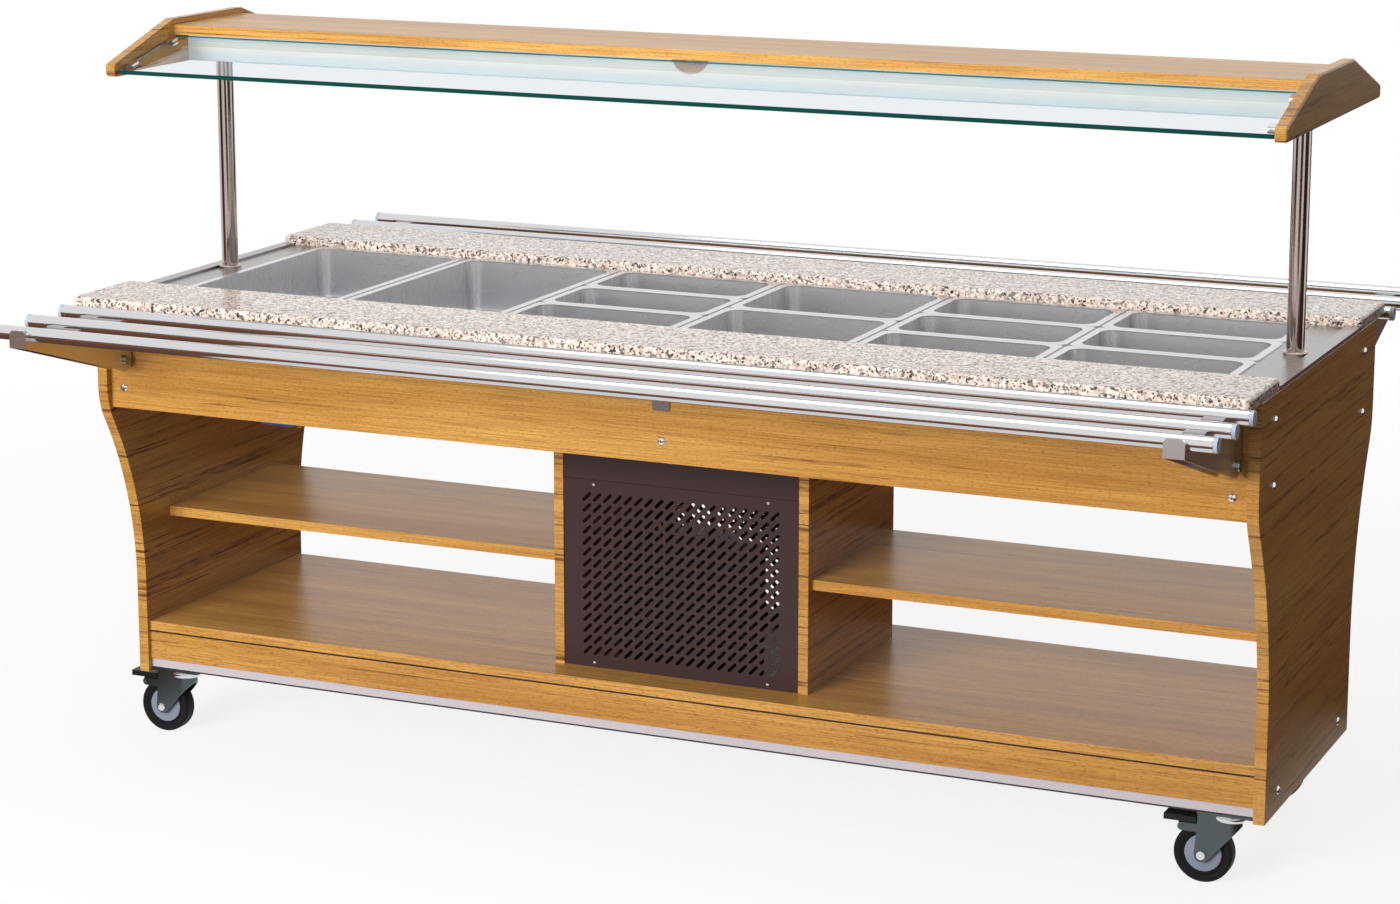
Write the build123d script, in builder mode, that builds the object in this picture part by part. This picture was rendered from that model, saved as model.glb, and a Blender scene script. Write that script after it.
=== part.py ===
from build123d import *
import math
import os

os.makedirs("parts", exist_ok=True)

# Refrigerated buffet cart, in millimetres, with the floor at Z = 0 and the origin under the middle.
# +X runs along the length to the right, +Y to the back.

# Cabinet
end_margin = 85.0
panel_thick = 20.0
board_thick = 18.0
cabinet_top = 846.0
panel_bottom = 125.0
panel_top_half_depth = 385.0
panel_foot_half_depth = 280.0
panel_curve_top = 690.0
panel_curve_bottom = 300.0
panel_bulge_radius = 130.0
edge_round = 1.5
apron_recess = 15.0
apron_height = 196.0
base_recess = 9.0
plinth_height = 54.0
plinth_seam = 1.2
glue_line = 0.4
divider_half_depth = 205.0
shelf_half_depth = 192.0
shelf_top = 424.0
machine_bay_width = 451.0

# Base frame and casters
caster_height = 130.0
frame_height = 19.0
frame_recess = 3.0
frame_rail_width = 40.0
frame_end_width = 100.0
caster_inset_x = 70.0
caster_inset_y = 50.0
caster_plate_length = 96.0
caster_plate_width = 76.0
caster_plate_thick = 4.0
swivel_head_radius = 26.0
swivel_head_height = 6.0
swivel_gap = 0.3
kingpin_radius = 6.0
kingpin_nut_radius = 10.0
kingpin_nut_height = 7.0
running_fit = 0.06
wheel_radius = 50.0
wheel_width = 30.0
wheel_round = 6.0
hub_radius = 36.0
hub_recess = 4.0
hub_boss_radius = 12.0
caster_trail = 42.0
fork_sheet = 3.0
fork_crown_thick = 4.0
fork_side_gap = 2.5
fork_crown_front = 26.0
fork_crown_back = 50.0
fork_ear_radius = 7.0
fork_eye_radius = 13.0
axle_radius = 5.0
axle_head_radius = 9.0
axle_head_height = 5.0
brake_pin_radius = 3.0
brake_pin_back = 77.0
brake_pin_drop = 24.7
brake_hub_radius = 6.0
brake_reach = 108.0
brake_toe_front = 53.0
brake_toe_lift = 8.5
brake_toe_thick = 10.0
brake_toe_width = 40.0
brake_side_gap = 0.5

# Tub, pans and cooling
gn_width = 325.0
gn_length = 530.0
column_pitch = 330.0
pan_clearance = 0.7
pan_depth = 100.0
pan_rim_width = 12.5
pan_rim_thick = 2.0
pan_wall = 1.5
pan_taper = 4.0
pan_corner = 26.0
pan_rim_corner = 14.0
pan_floor_round = 14.0
pan_column_counts = (1, 1, 3, 2, 3, 3)
seat_overlap = 8.5
ledge_thick = 3.0
ledge_rim_width = 25.0
ledge_rim_height = 4.0
slab_gap = 0.5
liner_thick = 1.5
well_depth = 150.0
bar_height = 15.0
bar_sheet = 2.0
jacket_half_width = 300.0
jacket_floor = 30.0
coil_radius = 4.75
coil_gap = 0.3
coil_floor_gap = 2.0
coil_end_gap = 120.0
coil_pass_pitch = 60.0
coil_pass_count = 6
pipe_bend_radius = 24.0
pipe_drop_bend_radius = 12.0
pipe_hole_gap = 5.0

# Drain
drain_inset = 95.0
drain_pipe_radius = 10.0
drain_pipe_wall = 2.0
drain_flange_radius = 24.0
drain_flange_thick = 1.5
drain_pipe_drop = 80.0
valve_radius = 17.0
valve_height = 20.0
drain_outlet_length = 3.0
valve_neck_radius = 8.0
valve_neck_length = 9.0
valve_stem_radius = 4.0
valve_stem_length = 7.0
lever_length = 60.0
lever_width = 14.0
lever_thick = 5.0

# Counter
granite_inner = 274.5
granite_depth = 180.0
granite_thick = 20.0
granite_corner = 10.0
granite_round = 5.0

# Canopy
post_inset = 47.0
post_radius = 15.25
post_wall = 1.5
post_flange_radius = 30.0
post_flange_thick = 3.0
rosette_radius = 21.0
rosette_height = 7.0
rosette_round = 3.0
rosette_gap = 0.1
cheek_overhang = 7.0
cheek_thick = 20.0
cheek_bottom = 1244.0
cheek_tip_height = 23.0
cheek_height = 87.0
cheek_half_depth = 316.0
cheek_top_half_depth = 118.0
cheek_corner = 7.0
cheek_round = 4.0
top_board_drop = 11.0
glass_thick = 8.0
glass_end_gap = 4.0
glass_front_inset = 11.0
glass_front_lift = 8.0
glass_back_cover = 6.0
glass_back_gap = 2.0
clip_length = 18.0
clip_reach = 16.0
clip_jaw = 4.0
clip_gap = 0.15
clip_insets = (31.0, 165.0)
light_box_half_depth = 70.0
light_box_height = 57.0
light_box_wall = 3.0
light_box_end_gap = 0.5
post_hole_gap = 0.5
lamp_radius = 13.0
lamp_half_length = 600.0
lamp_spread = 30.0
lamp_drop = 24.0
lamp_holder_length = 22.0
lamp_holder_width = 30.0
lamp_holder_below = 15.0

# Switches
switch_plate_x = -38.0
switch_plate_radius = 34.0
switch_plate_thick = 6.0
switch_drop = 11.0
rocker_width = 15.0
rocker_height = 10.0
rocker_depth = 5.0
rocker_gap = 0.5
rocker_tilt = 8.0
power_rocker_width = 22.0
power_rocker_height = 14.0

# Machine bay
grille_recess = 2.0
grille_height = 342.0
grille_sheet = 2.0
grille_return = 15.0
grille_side_gap = 0.5
header_gap = 1.2
slot_pitch = 20.0
slot_columns = 19
slot_rows = 15
slot_length = 22.0
slot_width = 6.0
slot_angle = 45.0
compressor_x = -85.0
compressor_y = 75.0
compressor_radius = 82.0
compressor_height = 175.0
compressor_dome = 40.0
compressor_foot_height = 14.0
compressor_foot_radius = 12.0
compressor_plate_thick = 3.0
compressor_plate_margin = 14.0
pipe_stub_radius = 8.0
pipe_stub_height = 12.0
suction_offset_x = -25.0
discharge_offset_x = 25.0
condenser_length = 260.0
condenser_depth = 50.0
condenser_height = 240.0
condenser_setback = 22.0
condenser_fin_pitch = 10.0
condenser_fin_cut = 5.0
condenser_fin_depth = 8.0
condenser_plate = 4.0
fan_radius = 95.0
fan_axis_height = 124.0
fan_hub_radius = 25.0
fan_hub_length = 24.0
fan_blade_count = 5
fan_blade_thick = 3.0
fan_blade_pitch = 32.0
fan_blade_cover = 0.8
fan_gap = 8.0
fan_shaft_radius = 4.0
fan_motor_radius = 38.0
fan_motor_length = 34.0
fan_motor_gap = 4.0
fan_foot_width = 60.0
fan_foot_thick = 8.0
control_x = 90.0
control_length = 180.0
control_height = 58.0
control_depth = 60.0
control_drop = 12.0
control_proud = 1.0
control_cut_gap = 0.5
control_step = 6.0
power_switch_offset = 60.0
inlet_offset = -50.0
inlet_length = 28.0
inlet_height = 20.0
inlet_depth = 16.0
inlet_pin_length = 12.0
inlet_pin_size = 2.5
inlet_pin_pitch = 7.0

# Tray slides
tube_radius = 12.5
tube_wall = 1.2
tube_overhang = 5.0
tube_axis_z = 841.0
tube_first_y = 472.0
tube_pitch = 101.0
tube_count = 3
cap_length = 7.0
cap_plug_length = 14.0
cap_fit = 0.05
bracket_inset = 51.0
mid_plate_x = 42.0
bracket_width = 34.0
bracket_sheet = 3.0
bracket_seat_depth = 7.5
bracket_seat_gap = 0.05
bracket_nose = 9.0
bracket_nose_drop = 22.0
bracket_nose_rise = 9.0
bracket_nose_chamfer = 6.0
bracket_root_radius = 20.0
pivot_offset = 25.0
pivot_z = 745.0
pivot_bolt_radius = 5.0
pivot_head_radius = 9.0
pivot_head_height = 5.0
pivot_plate_thick = 3.0
pivot_plate_width = 28.0
pivot_plate_height = 34.0
pivot_block_radius = 12.0
pivot_side_gap = 0.5
mid_plate_width = 32.0
mid_plate_height = 42.0
mid_plate_round = 4.0
mid_plate_z = 761.0

# Dome-head screws
screw_head_radius = 7.5
screw_head_height = 4.2
screw_head_round = 3.8
screw_shank_radius = 2.5
screw_length = 16.0
screw_hole_gap = 0.1
panel_screw_spots = ((302.0, 803.0), (300.0, 695.0), (204.0, 163.0))
apron_screw_inset = 47.0
apron_screw_z = 688.0

# Derived levels and faces
column_count = len(pan_column_counts)
body_length = column_pitch * column_count + 2 * end_margin
body_half = body_length / 2
panel_inner = body_half - panel_thick
apron_face = panel_top_half_depth - apron_recess
apron_bottom = cabinet_top - apron_height
base_half = panel_foot_half_depth - base_recess
plinth_bottom = caster_height + frame_height
base_bottom = plinth_bottom + plinth_height
base_top = base_bottom + board_thick
bay_half = machine_bay_width / 2
divider_outer = bay_half + board_thick
ledge_top = cabinet_top + ledge_thick
well_half_length = column_pitch * (column_count - 1) / 2 + gn_width / 2 - seat_overlap
well_half_width = gn_length / 2 - seat_overlap
well_floor = ledge_top - well_depth
liner_bottom = well_floor - liner_thick
coil_half_length = well_half_length - coil_end_gap
drain_x = drain_inset - well_half_length
coil_z = liner_bottom - coil_gap - coil_radius
jacket_inside = coil_z - coil_radius - coil_floor_gap
jacket_bottom = jacket_inside - jacket_floor
ledge_half_width = granite_inner - slab_gap
cheek_inner = body_half + cheek_overhang - cheek_thick
cheek_top = cheek_bottom + cheek_height
top_board_top = cheek_top - top_board_drop
top_board_bottom = top_board_top - board_thick
post_x = body_half - post_inset
grille_face = divider_half_depth - grille_recess
grille_half_width = bay_half - grille_side_gap
grille_top = base_top + grille_height
tube_half_length = body_half + tube_overhang
pivot_y = apron_face + pivot_offset
half_turn = Location((0, 0, 0), (0, 0, 180))
both_ends = (Location((0, 0, 0)), half_turn)


def block(low, high, mode=Mode.ADD):
    size = [b - a for a, b in zip(low, high)]
    middle = tuple((a + b) / 2 for a, b in zip(low, high))
    with Locations(middle):
        Box(*size, mode=mode)


def rod(start, radius, length, turn, mode=Mode.ADD):
    with Locations(Location(start, turn)):
        Cylinder(radius, length, align=(Align.CENTER, Align.CENTER, Align.MIN), mode=mode)


def write_piece(builder, name):
    builder.part.label = name
    export_step(builder.part, f"parts/{name}.step")


# Rod directions
to_right = (0, 90, 0)
to_left = (0, -90, 0)
to_front = (90, 0, 0)
to_back = (-90, 0, 0)
upward = (0, 0, 0)

# Side panels, with a straight upper flank, a bulge and a long hollow down to the foot
curve_drop = panel_curve_top - panel_curve_bottom
curve_inset = panel_top_half_depth - panel_foot_half_depth
curve_angle = 2 * math.degrees(math.atan2(curve_inset, curve_drop))
panel_hollow_radius = curve_drop / math.sin(math.radians(curve_angle)) - panel_bulge_radius
panel_screw_points = [(side * y, z) for y, z in panel_screw_spots for side in (-1, 1)]

for name, panel_x, outer_end in (("left_side_panel", -body_half, 0), ("right_side_panel", panel_inner, -1)):
    with BuildPart() as side_panel:
        with BuildSketch(Plane.YZ.offset(panel_x)):
            with BuildLine():
                top_edge = Line((0, cabinet_top), (-panel_top_half_depth, cabinet_top))
                flank = Line(top_edge @ 1, (-panel_top_half_depth, panel_curve_top))
                bulge = JernArc(flank @ 1, flank % 1, panel_bulge_radius, curve_angle)
                hollow = JernArc(bulge @ 1, bulge % 1, panel_hollow_radius, -curve_angle)
                foot = Line(hollow @ 1, (-panel_foot_half_depth, panel_bottom))
                Line(foot @ 1, (0, panel_bottom))
                mirror(about=Plane.YZ)
            make_face()
        extrude(amount=panel_thick)
        fillet(side_panel.faces().sort_by(Axis.X)[outer_end].edges(), edge_round)
        for y, z in panel_screw_points:
            rod((panel_x, y, z), screw_shank_radius + screw_hole_gap, panel_thick, to_right, Mode.SUBTRACT)
    write_piece(side_panel, name)

# Base board on two plinth boards
with BuildPart() as base_boards:
    block((-panel_inner, -base_half, base_bottom), (panel_inner, base_half, base_top))
    for side in (-1, 1):
        with Locations((0, side * (base_half - board_thick / 2), plinth_bottom)):
            Box(
                2 * panel_inner,
                board_thick,
                plinth_height - plinth_seam,
                align=(Align.CENTER, Align.CENTER, Align.MIN),
            )
write_piece(base_boards, "base_boards")

# Rectangular base frame with wide ends that carry the casters
frame_half = base_half - frame_recess
with BuildPart() as base_frame:
    block((-panel_inner, -frame_half, caster_height), (panel_inner, frame_half, plinth_bottom))
    block(
        (-panel_inner + frame_end_width, -frame_half + frame_rail_width, caster_height),
        (panel_inner - frame_end_width, frame_half - frame_rail_width, plinth_bottom),
        Mode.SUBTRACT,
    )
write_piece(base_frame, "base_frame")

# Aprons, drilled for their dome-head screws
apron_screw_xs = (-body_half + apron_screw_inset, mid_plate_x, body_half - apron_screw_inset)
with BuildPart() as apron:
    block((-panel_inner, -apron_face, apron_bottom), (panel_inner, board_thick - apron_face, cabinet_top))
    for x in apron_screw_xs:
        rod(
            (x, -apron_face, apron_screw_z),
            screw_shank_radius + screw_hole_gap,
            board_thick,
            to_back,
            Mode.SUBTRACT,
        )
with BuildPart() as apron_boards:
    with Locations(*both_ends):
        add(apron.part)
write_piece(apron_boards, "apron_boards")

# Dividers on both sides of the machine bay, and the shelves outside them
with BuildPart() as compartment_dividers:
    for side in (-1, 1):
        with Locations((side * (bay_half + board_thick / 2), 0, base_top)):
            Box(
                board_thick,
                2 * divider_half_depth,
                jacket_bottom - base_top,
                align=(Align.CENTER, Align.CENTER, Align.MIN),
            )
write_piece(compartment_dividers, "compartment_dividers")

shelf_length = panel_inner - divider_outer
with BuildPart() as mid_shelves:
    for side in (-1, 1):
        with Locations((side * (divider_outer + shelf_length / 2), 0, shelf_top)):
            Box(
                shelf_length,
                2 * shelf_half_depth,
                board_thick,
                align=(Align.CENTER, Align.CENTER, Align.MAX),
            )
write_piece(mid_shelves, "mid_shelves")

# Dome-head screws in both side panels and both aprons
with BuildPart() as dome_screw:
    rod((0, 0, 0), screw_head_radius, screw_head_height, upward)
    fillet(dome_screw.faces().sort_by(Axis.Z)[-1].edges(), screw_head_round)
    rod((0, 0, -screw_length), screw_shank_radius, screw_length, upward)
screw_places = [Location((-body_half, y, z), to_left) for y, z in panel_screw_points]
screw_places += [Location((body_half, y, z), to_right) for y, z in panel_screw_points]
screw_places += [Location((x, -apron_face, apron_screw_z), to_front) for x in apron_screw_xs]
screw_places += [Location((-x, apron_face, apron_screw_z), to_back) for x in apron_screw_xs]
with BuildPart() as panel_screws:
    with Locations(*screw_places):
        add(dome_screw.part)
write_piece(panel_screws, "panel_screws")

# Stainless tub: a floor sheet with a drain hole, and wall sheets welded along their edges
shell_half_length = well_half_length + liner_thick
shell_half_width = well_half_width + liner_thick
wall_foot = well_floor + glue_line
wall_top = cabinet_top - glue_line
with BuildPart() as floor_sheet:
    block(
        (-shell_half_length, -shell_half_width, liner_bottom),
        (shell_half_length, shell_half_width, well_floor),
    )
    rod(
        (drain_x, 0, liner_bottom),
        drain_pipe_radius + running_fit,
        liner_thick,
        upward,
        Mode.SUBTRACT,
    )

with BuildPart() as long_wall:
    block(
        (-shell_half_length, -shell_half_width, wall_foot),
        (shell_half_length, -well_half_width, wall_top),
    )
with BuildPart() as end_wall:
    block(
        (well_half_length, glue_line - well_half_width, wall_foot),
        (shell_half_length, well_half_width - glue_line, wall_top),
    )

# Ledge plates welded round the well, the end ones with raised rims over the side panels
rim_inner = body_half - ledge_rim_width
with BuildPart() as long_ledge:
    block(
        (glue_line - well_half_length, -ledge_half_width, cabinet_top),
        (well_half_length - glue_line, -well_half_width, ledge_top),
    )
with BuildPart() as end_ledge:
    block(
        (well_half_length, -ledge_half_width, cabinet_top),
        (rim_inner - glue_line, ledge_half_width, ledge_top),
    )
    block(
        (rim_inner, -ledge_half_width, cabinet_top),
        (body_half, ledge_half_width, ledge_top + ledge_rim_height),
    )
with BuildPart() as tub_liner:
    add(floor_sheet.part)
    with Locations(*both_ends):
        add(long_wall.part)
        add(end_wall.part)
        add(long_ledge.part)
        add(end_ledge.part)
write_piece(tub_liner, "tub_liner")

# Foam boards round the tub, the floor board below the coil with holes for the drain and the two coil pipes
coil_first_y = -coil_pass_pitch * (coil_pass_count - 1) / 2
condenser_y = condenser_setback + condenser_depth / 2 - grille_face
suction_x = compressor_x + suction_offset_x
supply_x = condenser_length / 4
drop_spots = ((supply_x, coil_first_y), (suction_x, -coil_first_y))
board_foot = jacket_inside + glue_line
with BuildPart() as floor_foam:
    block((-panel_inner, -jacket_half_width, jacket_bottom), (panel_inner, jacket_half_width, jacket_inside))
    rod(
        (drain_x, 0, jacket_bottom),
        drain_pipe_radius + pipe_hole_gap,
        jacket_floor,
        upward,
        Mode.SUBTRACT,
    )
    for x, y in drop_spots:
        rod((x, y, jacket_bottom), coil_radius + pipe_hole_gap, jacket_floor, upward, Mode.SUBTRACT)
with BuildPart() as long_foam:
    block(
        (-panel_inner, -jacket_half_width, board_foot),
        (panel_inner, -shell_half_width, cabinet_top),
    )
with BuildPart() as end_foam:
    block(
        (shell_half_length, glue_line - shell_half_width, board_foot),
        (panel_inner, shell_half_width - glue_line, cabinet_top),
    )
with BuildPart() as tub_insulation:
    add(floor_foam.part)
    with Locations(*both_ends):
        add(long_foam.part)
        add(end_foam.part)
write_piece(tub_insulation, "tub_insulation")

# Inverted channel bars between the pan columns
bar_half_width = (column_pitch - gn_width) / 2 + seat_overlap
with BuildPart() as pan_support_bars:
    with GridLocations(column_pitch, 0, column_count - 1, 1):
        with Locations((0, 0, ledge_top)):
            Box(
                2 * bar_half_width,
                2 * well_half_width,
                bar_height,
                align=(Align.CENTER, Align.CENTER, Align.MAX),
            )
    with GridLocations(column_pitch, 0, column_count - 1, 1):
        with Locations((0, 0, ledge_top - bar_sheet)):
            Box(
                2 * (bar_half_width - bar_sheet),
                2 * well_half_width,
                bar_height,
                align=(Align.CENTER, Align.CENTER, Align.MAX),
                mode=Mode.SUBTRACT,
            )
write_piece(pan_support_bars, "pan_support_bars")

# Gastronorm pans, one shape for each number of pans in a column, drawn about the middle of the rim
body_width = gn_width - 2 * pan_rim_width
pan_shapes = {}
for count in sorted(set(pan_column_counts)):
    rim_depth = gn_length / count - pan_clearance
    body_depth = rim_depth - 2 * pan_rim_width
    with BuildPart() as pan_hollow:
        with BuildSketch():
            RectangleRounded(body_width - 2 * pan_wall, body_depth - 2 * pan_wall, pan_corner - pan_wall)
        extrude(amount=pan_wall - pan_depth, taper=pan_taper)
        fillet(pan_hollow.faces().sort_by(Axis.Z)[0].edges(), pan_floor_round - pan_wall)
    with BuildPart() as pan_shape:
        with BuildSketch():
            RectangleRounded(body_width, body_depth, pan_corner)
        extrude(amount=-pan_depth, taper=pan_taper)
        fillet(pan_shape.faces().sort_by(Axis.Z)[0].edges(), pan_floor_round)
        add(pan_hollow.part, mode=Mode.SUBTRACT)
        with BuildSketch():
            RectangleRounded(gn_width, rim_depth, pan_rim_corner)
            RectangleRounded(
                body_width - 2 * pan_wall,
                body_depth - 2 * pan_wall,
                pan_corner - pan_wall,
                mode=Mode.SUBTRACT,
            )
        extrude(amount=pan_rim_thick)
    pan_shapes[count] = pan_shape.part

# One node for each pan, column by column from the left and front to back
pan_number = 0
for column, count in enumerate(pan_column_counts):
    pan_x = column_pitch * (column - (column_count - 1) / 2)
    for row in range(count):
        pan_number += 1
        pan_y = gn_length * ((row + 0.5) / count - 0.5)
        with BuildPart() as pan:
            with Locations((pan_x, pan_y, ledge_top)):
                add(pan_shapes[count])
        write_piece(pan, f"pan_{pan_number:02d}")

# Evaporator coil under the tub floor, and the discharge line from compressor to condenser
compressor_top = base_top + compressor_foot_height + compressor_plate_thick + compressor_height
stub_top = compressor_top + pipe_stub_height
condenser_top = base_top + condenser_height
line_z = stub_top + 3 * pipe_bend_radius
coil_points = [(supply_x, coil_first_y, condenser_top), (supply_x, coil_first_y, coil_z)]
for number in range(coil_pass_count):
    y = coil_first_y + number * coil_pass_pitch
    turn_x = -coil_half_length if number % 2 == 0 else coil_half_length
    if number > 0:
        coil_points.append((-turn_x, y, coil_z))
    if number < coil_pass_count - 1:
        coil_points.append((turn_x, y, coil_z))
coil_points += [
    (suction_x, -coil_first_y, coil_z),
    (suction_x, -coil_first_y, line_z),
    (suction_x, compressor_y, line_z),
    (suction_x, compressor_y, stub_top),
]
discharge_x = compressor_x + discharge_offset_x
discharge_points = [
    (discharge_x, compressor_y, stub_top),
    (discharge_x, compressor_y, line_z),
    (discharge_x, condenser_y, line_z),
    (discharge_x, condenser_y, condenser_top),
]
with BuildPart() as refrigerant_lines:
    for points in (coil_points, discharge_points):
        bends = []
        for x, y, z in points[1:-1]:
            bends.append(pipe_drop_bend_radius if (x, y) in drop_spots else pipe_bend_radius)
        with BuildLine() as pipe_path:
            FilletPolyline(*points, radius=bends)
        with BuildSketch(Plane(points[0])):
            Circle(coil_radius)
        sweep(path=pipe_path.wires()[0])
write_piece(refrigerant_lines, "refrigerant_lines")

# Drain: strainer flange on the tub floor, pipe, valve body with its neck and stem, outlet
pipe_end = jacket_bottom - drain_pipe_drop
valve_bottom = pipe_end - valve_height
valve_middle = pipe_end - valve_height / 2
neck_front = -valve_radius - valve_neck_length
with BuildPart() as drain_valve:
    rod((drain_x, 0, well_floor), drain_flange_radius, drain_flange_thick, upward)
    rod((drain_x, 0, pipe_end), drain_pipe_radius, well_floor - pipe_end, upward)
    with BuildSketch(Plane((drain_x, 0, valve_bottom))):
        RegularPolygon(valve_radius, 6)
    extrude(amount=valve_height)
    rod((drain_x, 0, valve_bottom - drain_outlet_length), drain_pipe_radius, drain_outlet_length, upward)
    rod(
        (drain_x, 0, valve_bottom - drain_outlet_length),
        drain_pipe_radius - drain_pipe_wall,
        well_floor + drain_flange_thick - valve_bottom + drain_outlet_length,
        upward,
        Mode.SUBTRACT,
    )
    rod((drain_x, neck_front, valve_middle), valve_neck_radius, valve_neck_length + valve_radius / 4, to_back)
    rod((drain_x, neck_front, valve_middle), valve_stem_radius, valve_stem_length, to_front)
write_piece(drain_valve, "drain_valve")

with BuildPart() as drain_lever:
    with BuildSketch(Plane.XZ.offset(-neck_front + swivel_gap)):
        with Locations((drain_x - lever_length / 2, valve_middle)):
            SlotCenterToCenter(lever_length, lever_width)
        with Locations((drain_x, valve_middle)):
            Circle(valve_stem_radius + running_fit, mode=Mode.SUBTRACT)
    extrude(amount=lever_thick)
write_piece(drain_lever, "drain_lever")

# Granite slabs in front of and behind the well
with BuildPart() as granite_slab:
    with BuildSketch(Plane((0, -granite_inner - granite_depth / 2, cabinet_top))):
        RectangleRounded(body_length, granite_depth, granite_corner)
    extrude(amount=granite_thick)
    fillet(granite_slab.faces().sort_by(Axis.Z)[-1].edges(), granite_round)
    fillet(granite_slab.faces().sort_by(Axis.Z)[0].edges(), edge_round)
with BuildPart() as granite_slabs:
    with Locations(*both_ends):
        add(granite_slab.part)
write_piece(granite_slabs, "granite_slabs")

# Canopy posts with a flange under the top board, and the rosettes at their feet
with BuildPart() as canopy_posts:
    for side in (-1, 1):
        foot_point = (side * post_x, 0, ledge_top)
        rod(foot_point, post_radius, top_board_bottom - ledge_top, upward)
        rod(
            (side * post_x, 0, top_board_bottom - post_flange_thick),
            post_flange_radius,
            post_flange_thick,
            upward,
        )
        rod(foot_point, post_radius - post_wall, top_board_bottom - ledge_top, upward, Mode.SUBTRACT)
with BuildPart() as rosette:
    with BuildSketch(Plane.XY.offset(ledge_top)):
        Circle(rosette_radius)
    extrude(amount=rosette_height)
    fillet(rosette.faces().sort_by(Axis.Z)[-1].edges(), rosette_round)
    rod((0, 0, ledge_top), post_radius + rosette_gap, rosette_height, upward, Mode.SUBTRACT)
with BuildPart() as posts_and_rosettes:
    add(canopy_posts.part)
    with Locations((-post_x, 0, 0), (post_x, 0, 0)):
        add(rosette.part)
write_piece(posts_and_rosettes, "canopy_posts")

# Six-sided canopy cheeks with softened edges
with BuildPart() as canopy_cheeks:
    for side in (-1, 1):
        with BuildSketch(Plane.YZ.offset(side * (cheek_inner + cheek_thick / 2))) as cheek_outline:
            with BuildLine():
                Polyline(
                    (cheek_half_depth, cheek_bottom),
                    (cheek_half_depth, cheek_bottom + cheek_tip_height),
                    (cheek_top_half_depth, cheek_top),
                    (-cheek_top_half_depth, cheek_top),
                    (-cheek_half_depth, cheek_bottom + cheek_tip_height),
                    (-cheek_half_depth, cheek_bottom),
                    close=True,
                )
            make_face()
            fillet(cheek_outline.vertices(), cheek_corner)
        extrude(amount=cheek_thick / 2, both=True)
    fillet(canopy_cheeks.faces().sort_by(Axis.X)[-1].edges(), cheek_round)
    fillet(canopy_cheeks.faces().sort_by(Axis.X)[0].edges(), cheek_round)
write_piece(canopy_cheeks, "canopy_cheeks")

with BuildPart() as canopy_top_board:
    block(
        (-cheek_inner, -cheek_top_half_depth, top_board_bottom),
        (cheek_inner, cheek_top_half_depth, top_board_top),
    )
    fillet(canopy_top_board.faces().sort_by(Axis.Z)[-1].edges().filter_by(Axis.X), edge_round)
write_piece(canopy_top_board, "canopy_top_board")

# Sloping glass panes, from under the top board to just behind the cheek tips
glass_half_length = cheek_inner - glass_end_gap
glass_low = (glass_front_inset - cheek_half_depth, cheek_bottom + glass_front_lift)
glass_high = (
    glass_back_cover - cheek_top_half_depth,
    top_board_bottom - glass_back_gap - glass_thick / 2,
)
glass_slope = math.degrees(math.atan2(glass_high[1] - glass_low[1], glass_high[0] - glass_low[0]))
glass_width = math.dist(glass_low, glass_high)
glass_middle = tuple((a + b) / 2 for a, b in zip(glass_low, glass_high))
with BuildPart() as glass_pane:
    with BuildSketch(Plane.YZ):
        with Locations(glass_middle):
            Rectangle(glass_width, glass_thick, rotation=glass_slope)
    extrude(amount=glass_half_length, both=True)
with BuildPart() as sneeze_glasses:
    with Locations(*both_ends):
        add(glass_pane.part)
write_piece(sneeze_glasses, "sneeze_glasses")

# Clips that hold each pane to the cheeks, two at each end
clip_height = glass_thick + 2 * (clip_gap + clip_jaw)
clip_across = (math.cos(math.radians(glass_slope)), math.sin(math.radians(glass_slope)))
with BuildPart() as pane_clips:
    for inset in clip_insets:
        clip_spot = (glass_low[0] + inset * clip_across[0], glass_low[1] + inset * clip_across[1])
        for side in (-1, 1):
            with BuildSketch(Plane.YZ.offset(side * cheek_inner)):
                with Locations(clip_spot):
                    Rectangle(clip_length, clip_height, rotation=glass_slope)
            extrude(amount=-side * (glass_end_gap + clip_reach))
            with BuildSketch(Plane.YZ.offset(side * (glass_half_length + clip_gap))):
                with Locations(clip_spot):
                    Rectangle(2 * clip_length, glass_thick + 2 * clip_gap, rotation=glass_slope)
            extrude(amount=-side * 2 * clip_reach, mode=Mode.SUBTRACT)
with BuildPart() as glass_clips:
    with Locations(*both_ends):
        add(pane_clips.part)
write_piece(glass_clips, "glass_clips")

# Opal light box, an open-topped channel under the top board that the posts pass through
light_box_bottom = top_board_bottom - light_box_height
light_box_half_length = cheek_inner - light_box_end_gap
with BuildPart() as light_box:
    block(
        (-light_box_half_length, -light_box_half_depth, light_box_bottom),
        (light_box_half_length, light_box_half_depth, top_board_bottom),
    )
    block(
        (-light_box_half_length, light_box_wall - light_box_half_depth, light_box_bottom + light_box_wall),
        (light_box_half_length, light_box_half_depth - light_box_wall, top_board_bottom),
        Mode.SUBTRACT,
    )
    for side in (-1, 1):
        rod(
            (side * post_x, 0, light_box_bottom),
            post_radius + post_hole_gap,
            light_box_wall,
            upward,
            Mode.SUBTRACT,
        )

# Two lamps in holders under the top board, inside the light box
lamp_z = top_board_bottom - lamp_drop
with BuildPart() as lamps:
    for side in (-1, 1):
        rod((-lamp_half_length, side * lamp_spread, lamp_z), lamp_radius, 2 * lamp_half_length, to_right)
        for end in (-1, 1):
            holder_x = end * (lamp_half_length + lamp_holder_length / 2)
            with Locations((holder_x, side * lamp_spread, top_board_bottom)):
                Box(
                    lamp_holder_length,
                    lamp_holder_width,
                    lamp_drop + lamp_holder_below,
                    align=(Align.CENTER, Align.CENTER, Align.MAX),
                )
with BuildPart() as lit_light_box:
    add(light_box.part)
    add(lamps.part)
write_piece(lit_light_box, "light_box")

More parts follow.
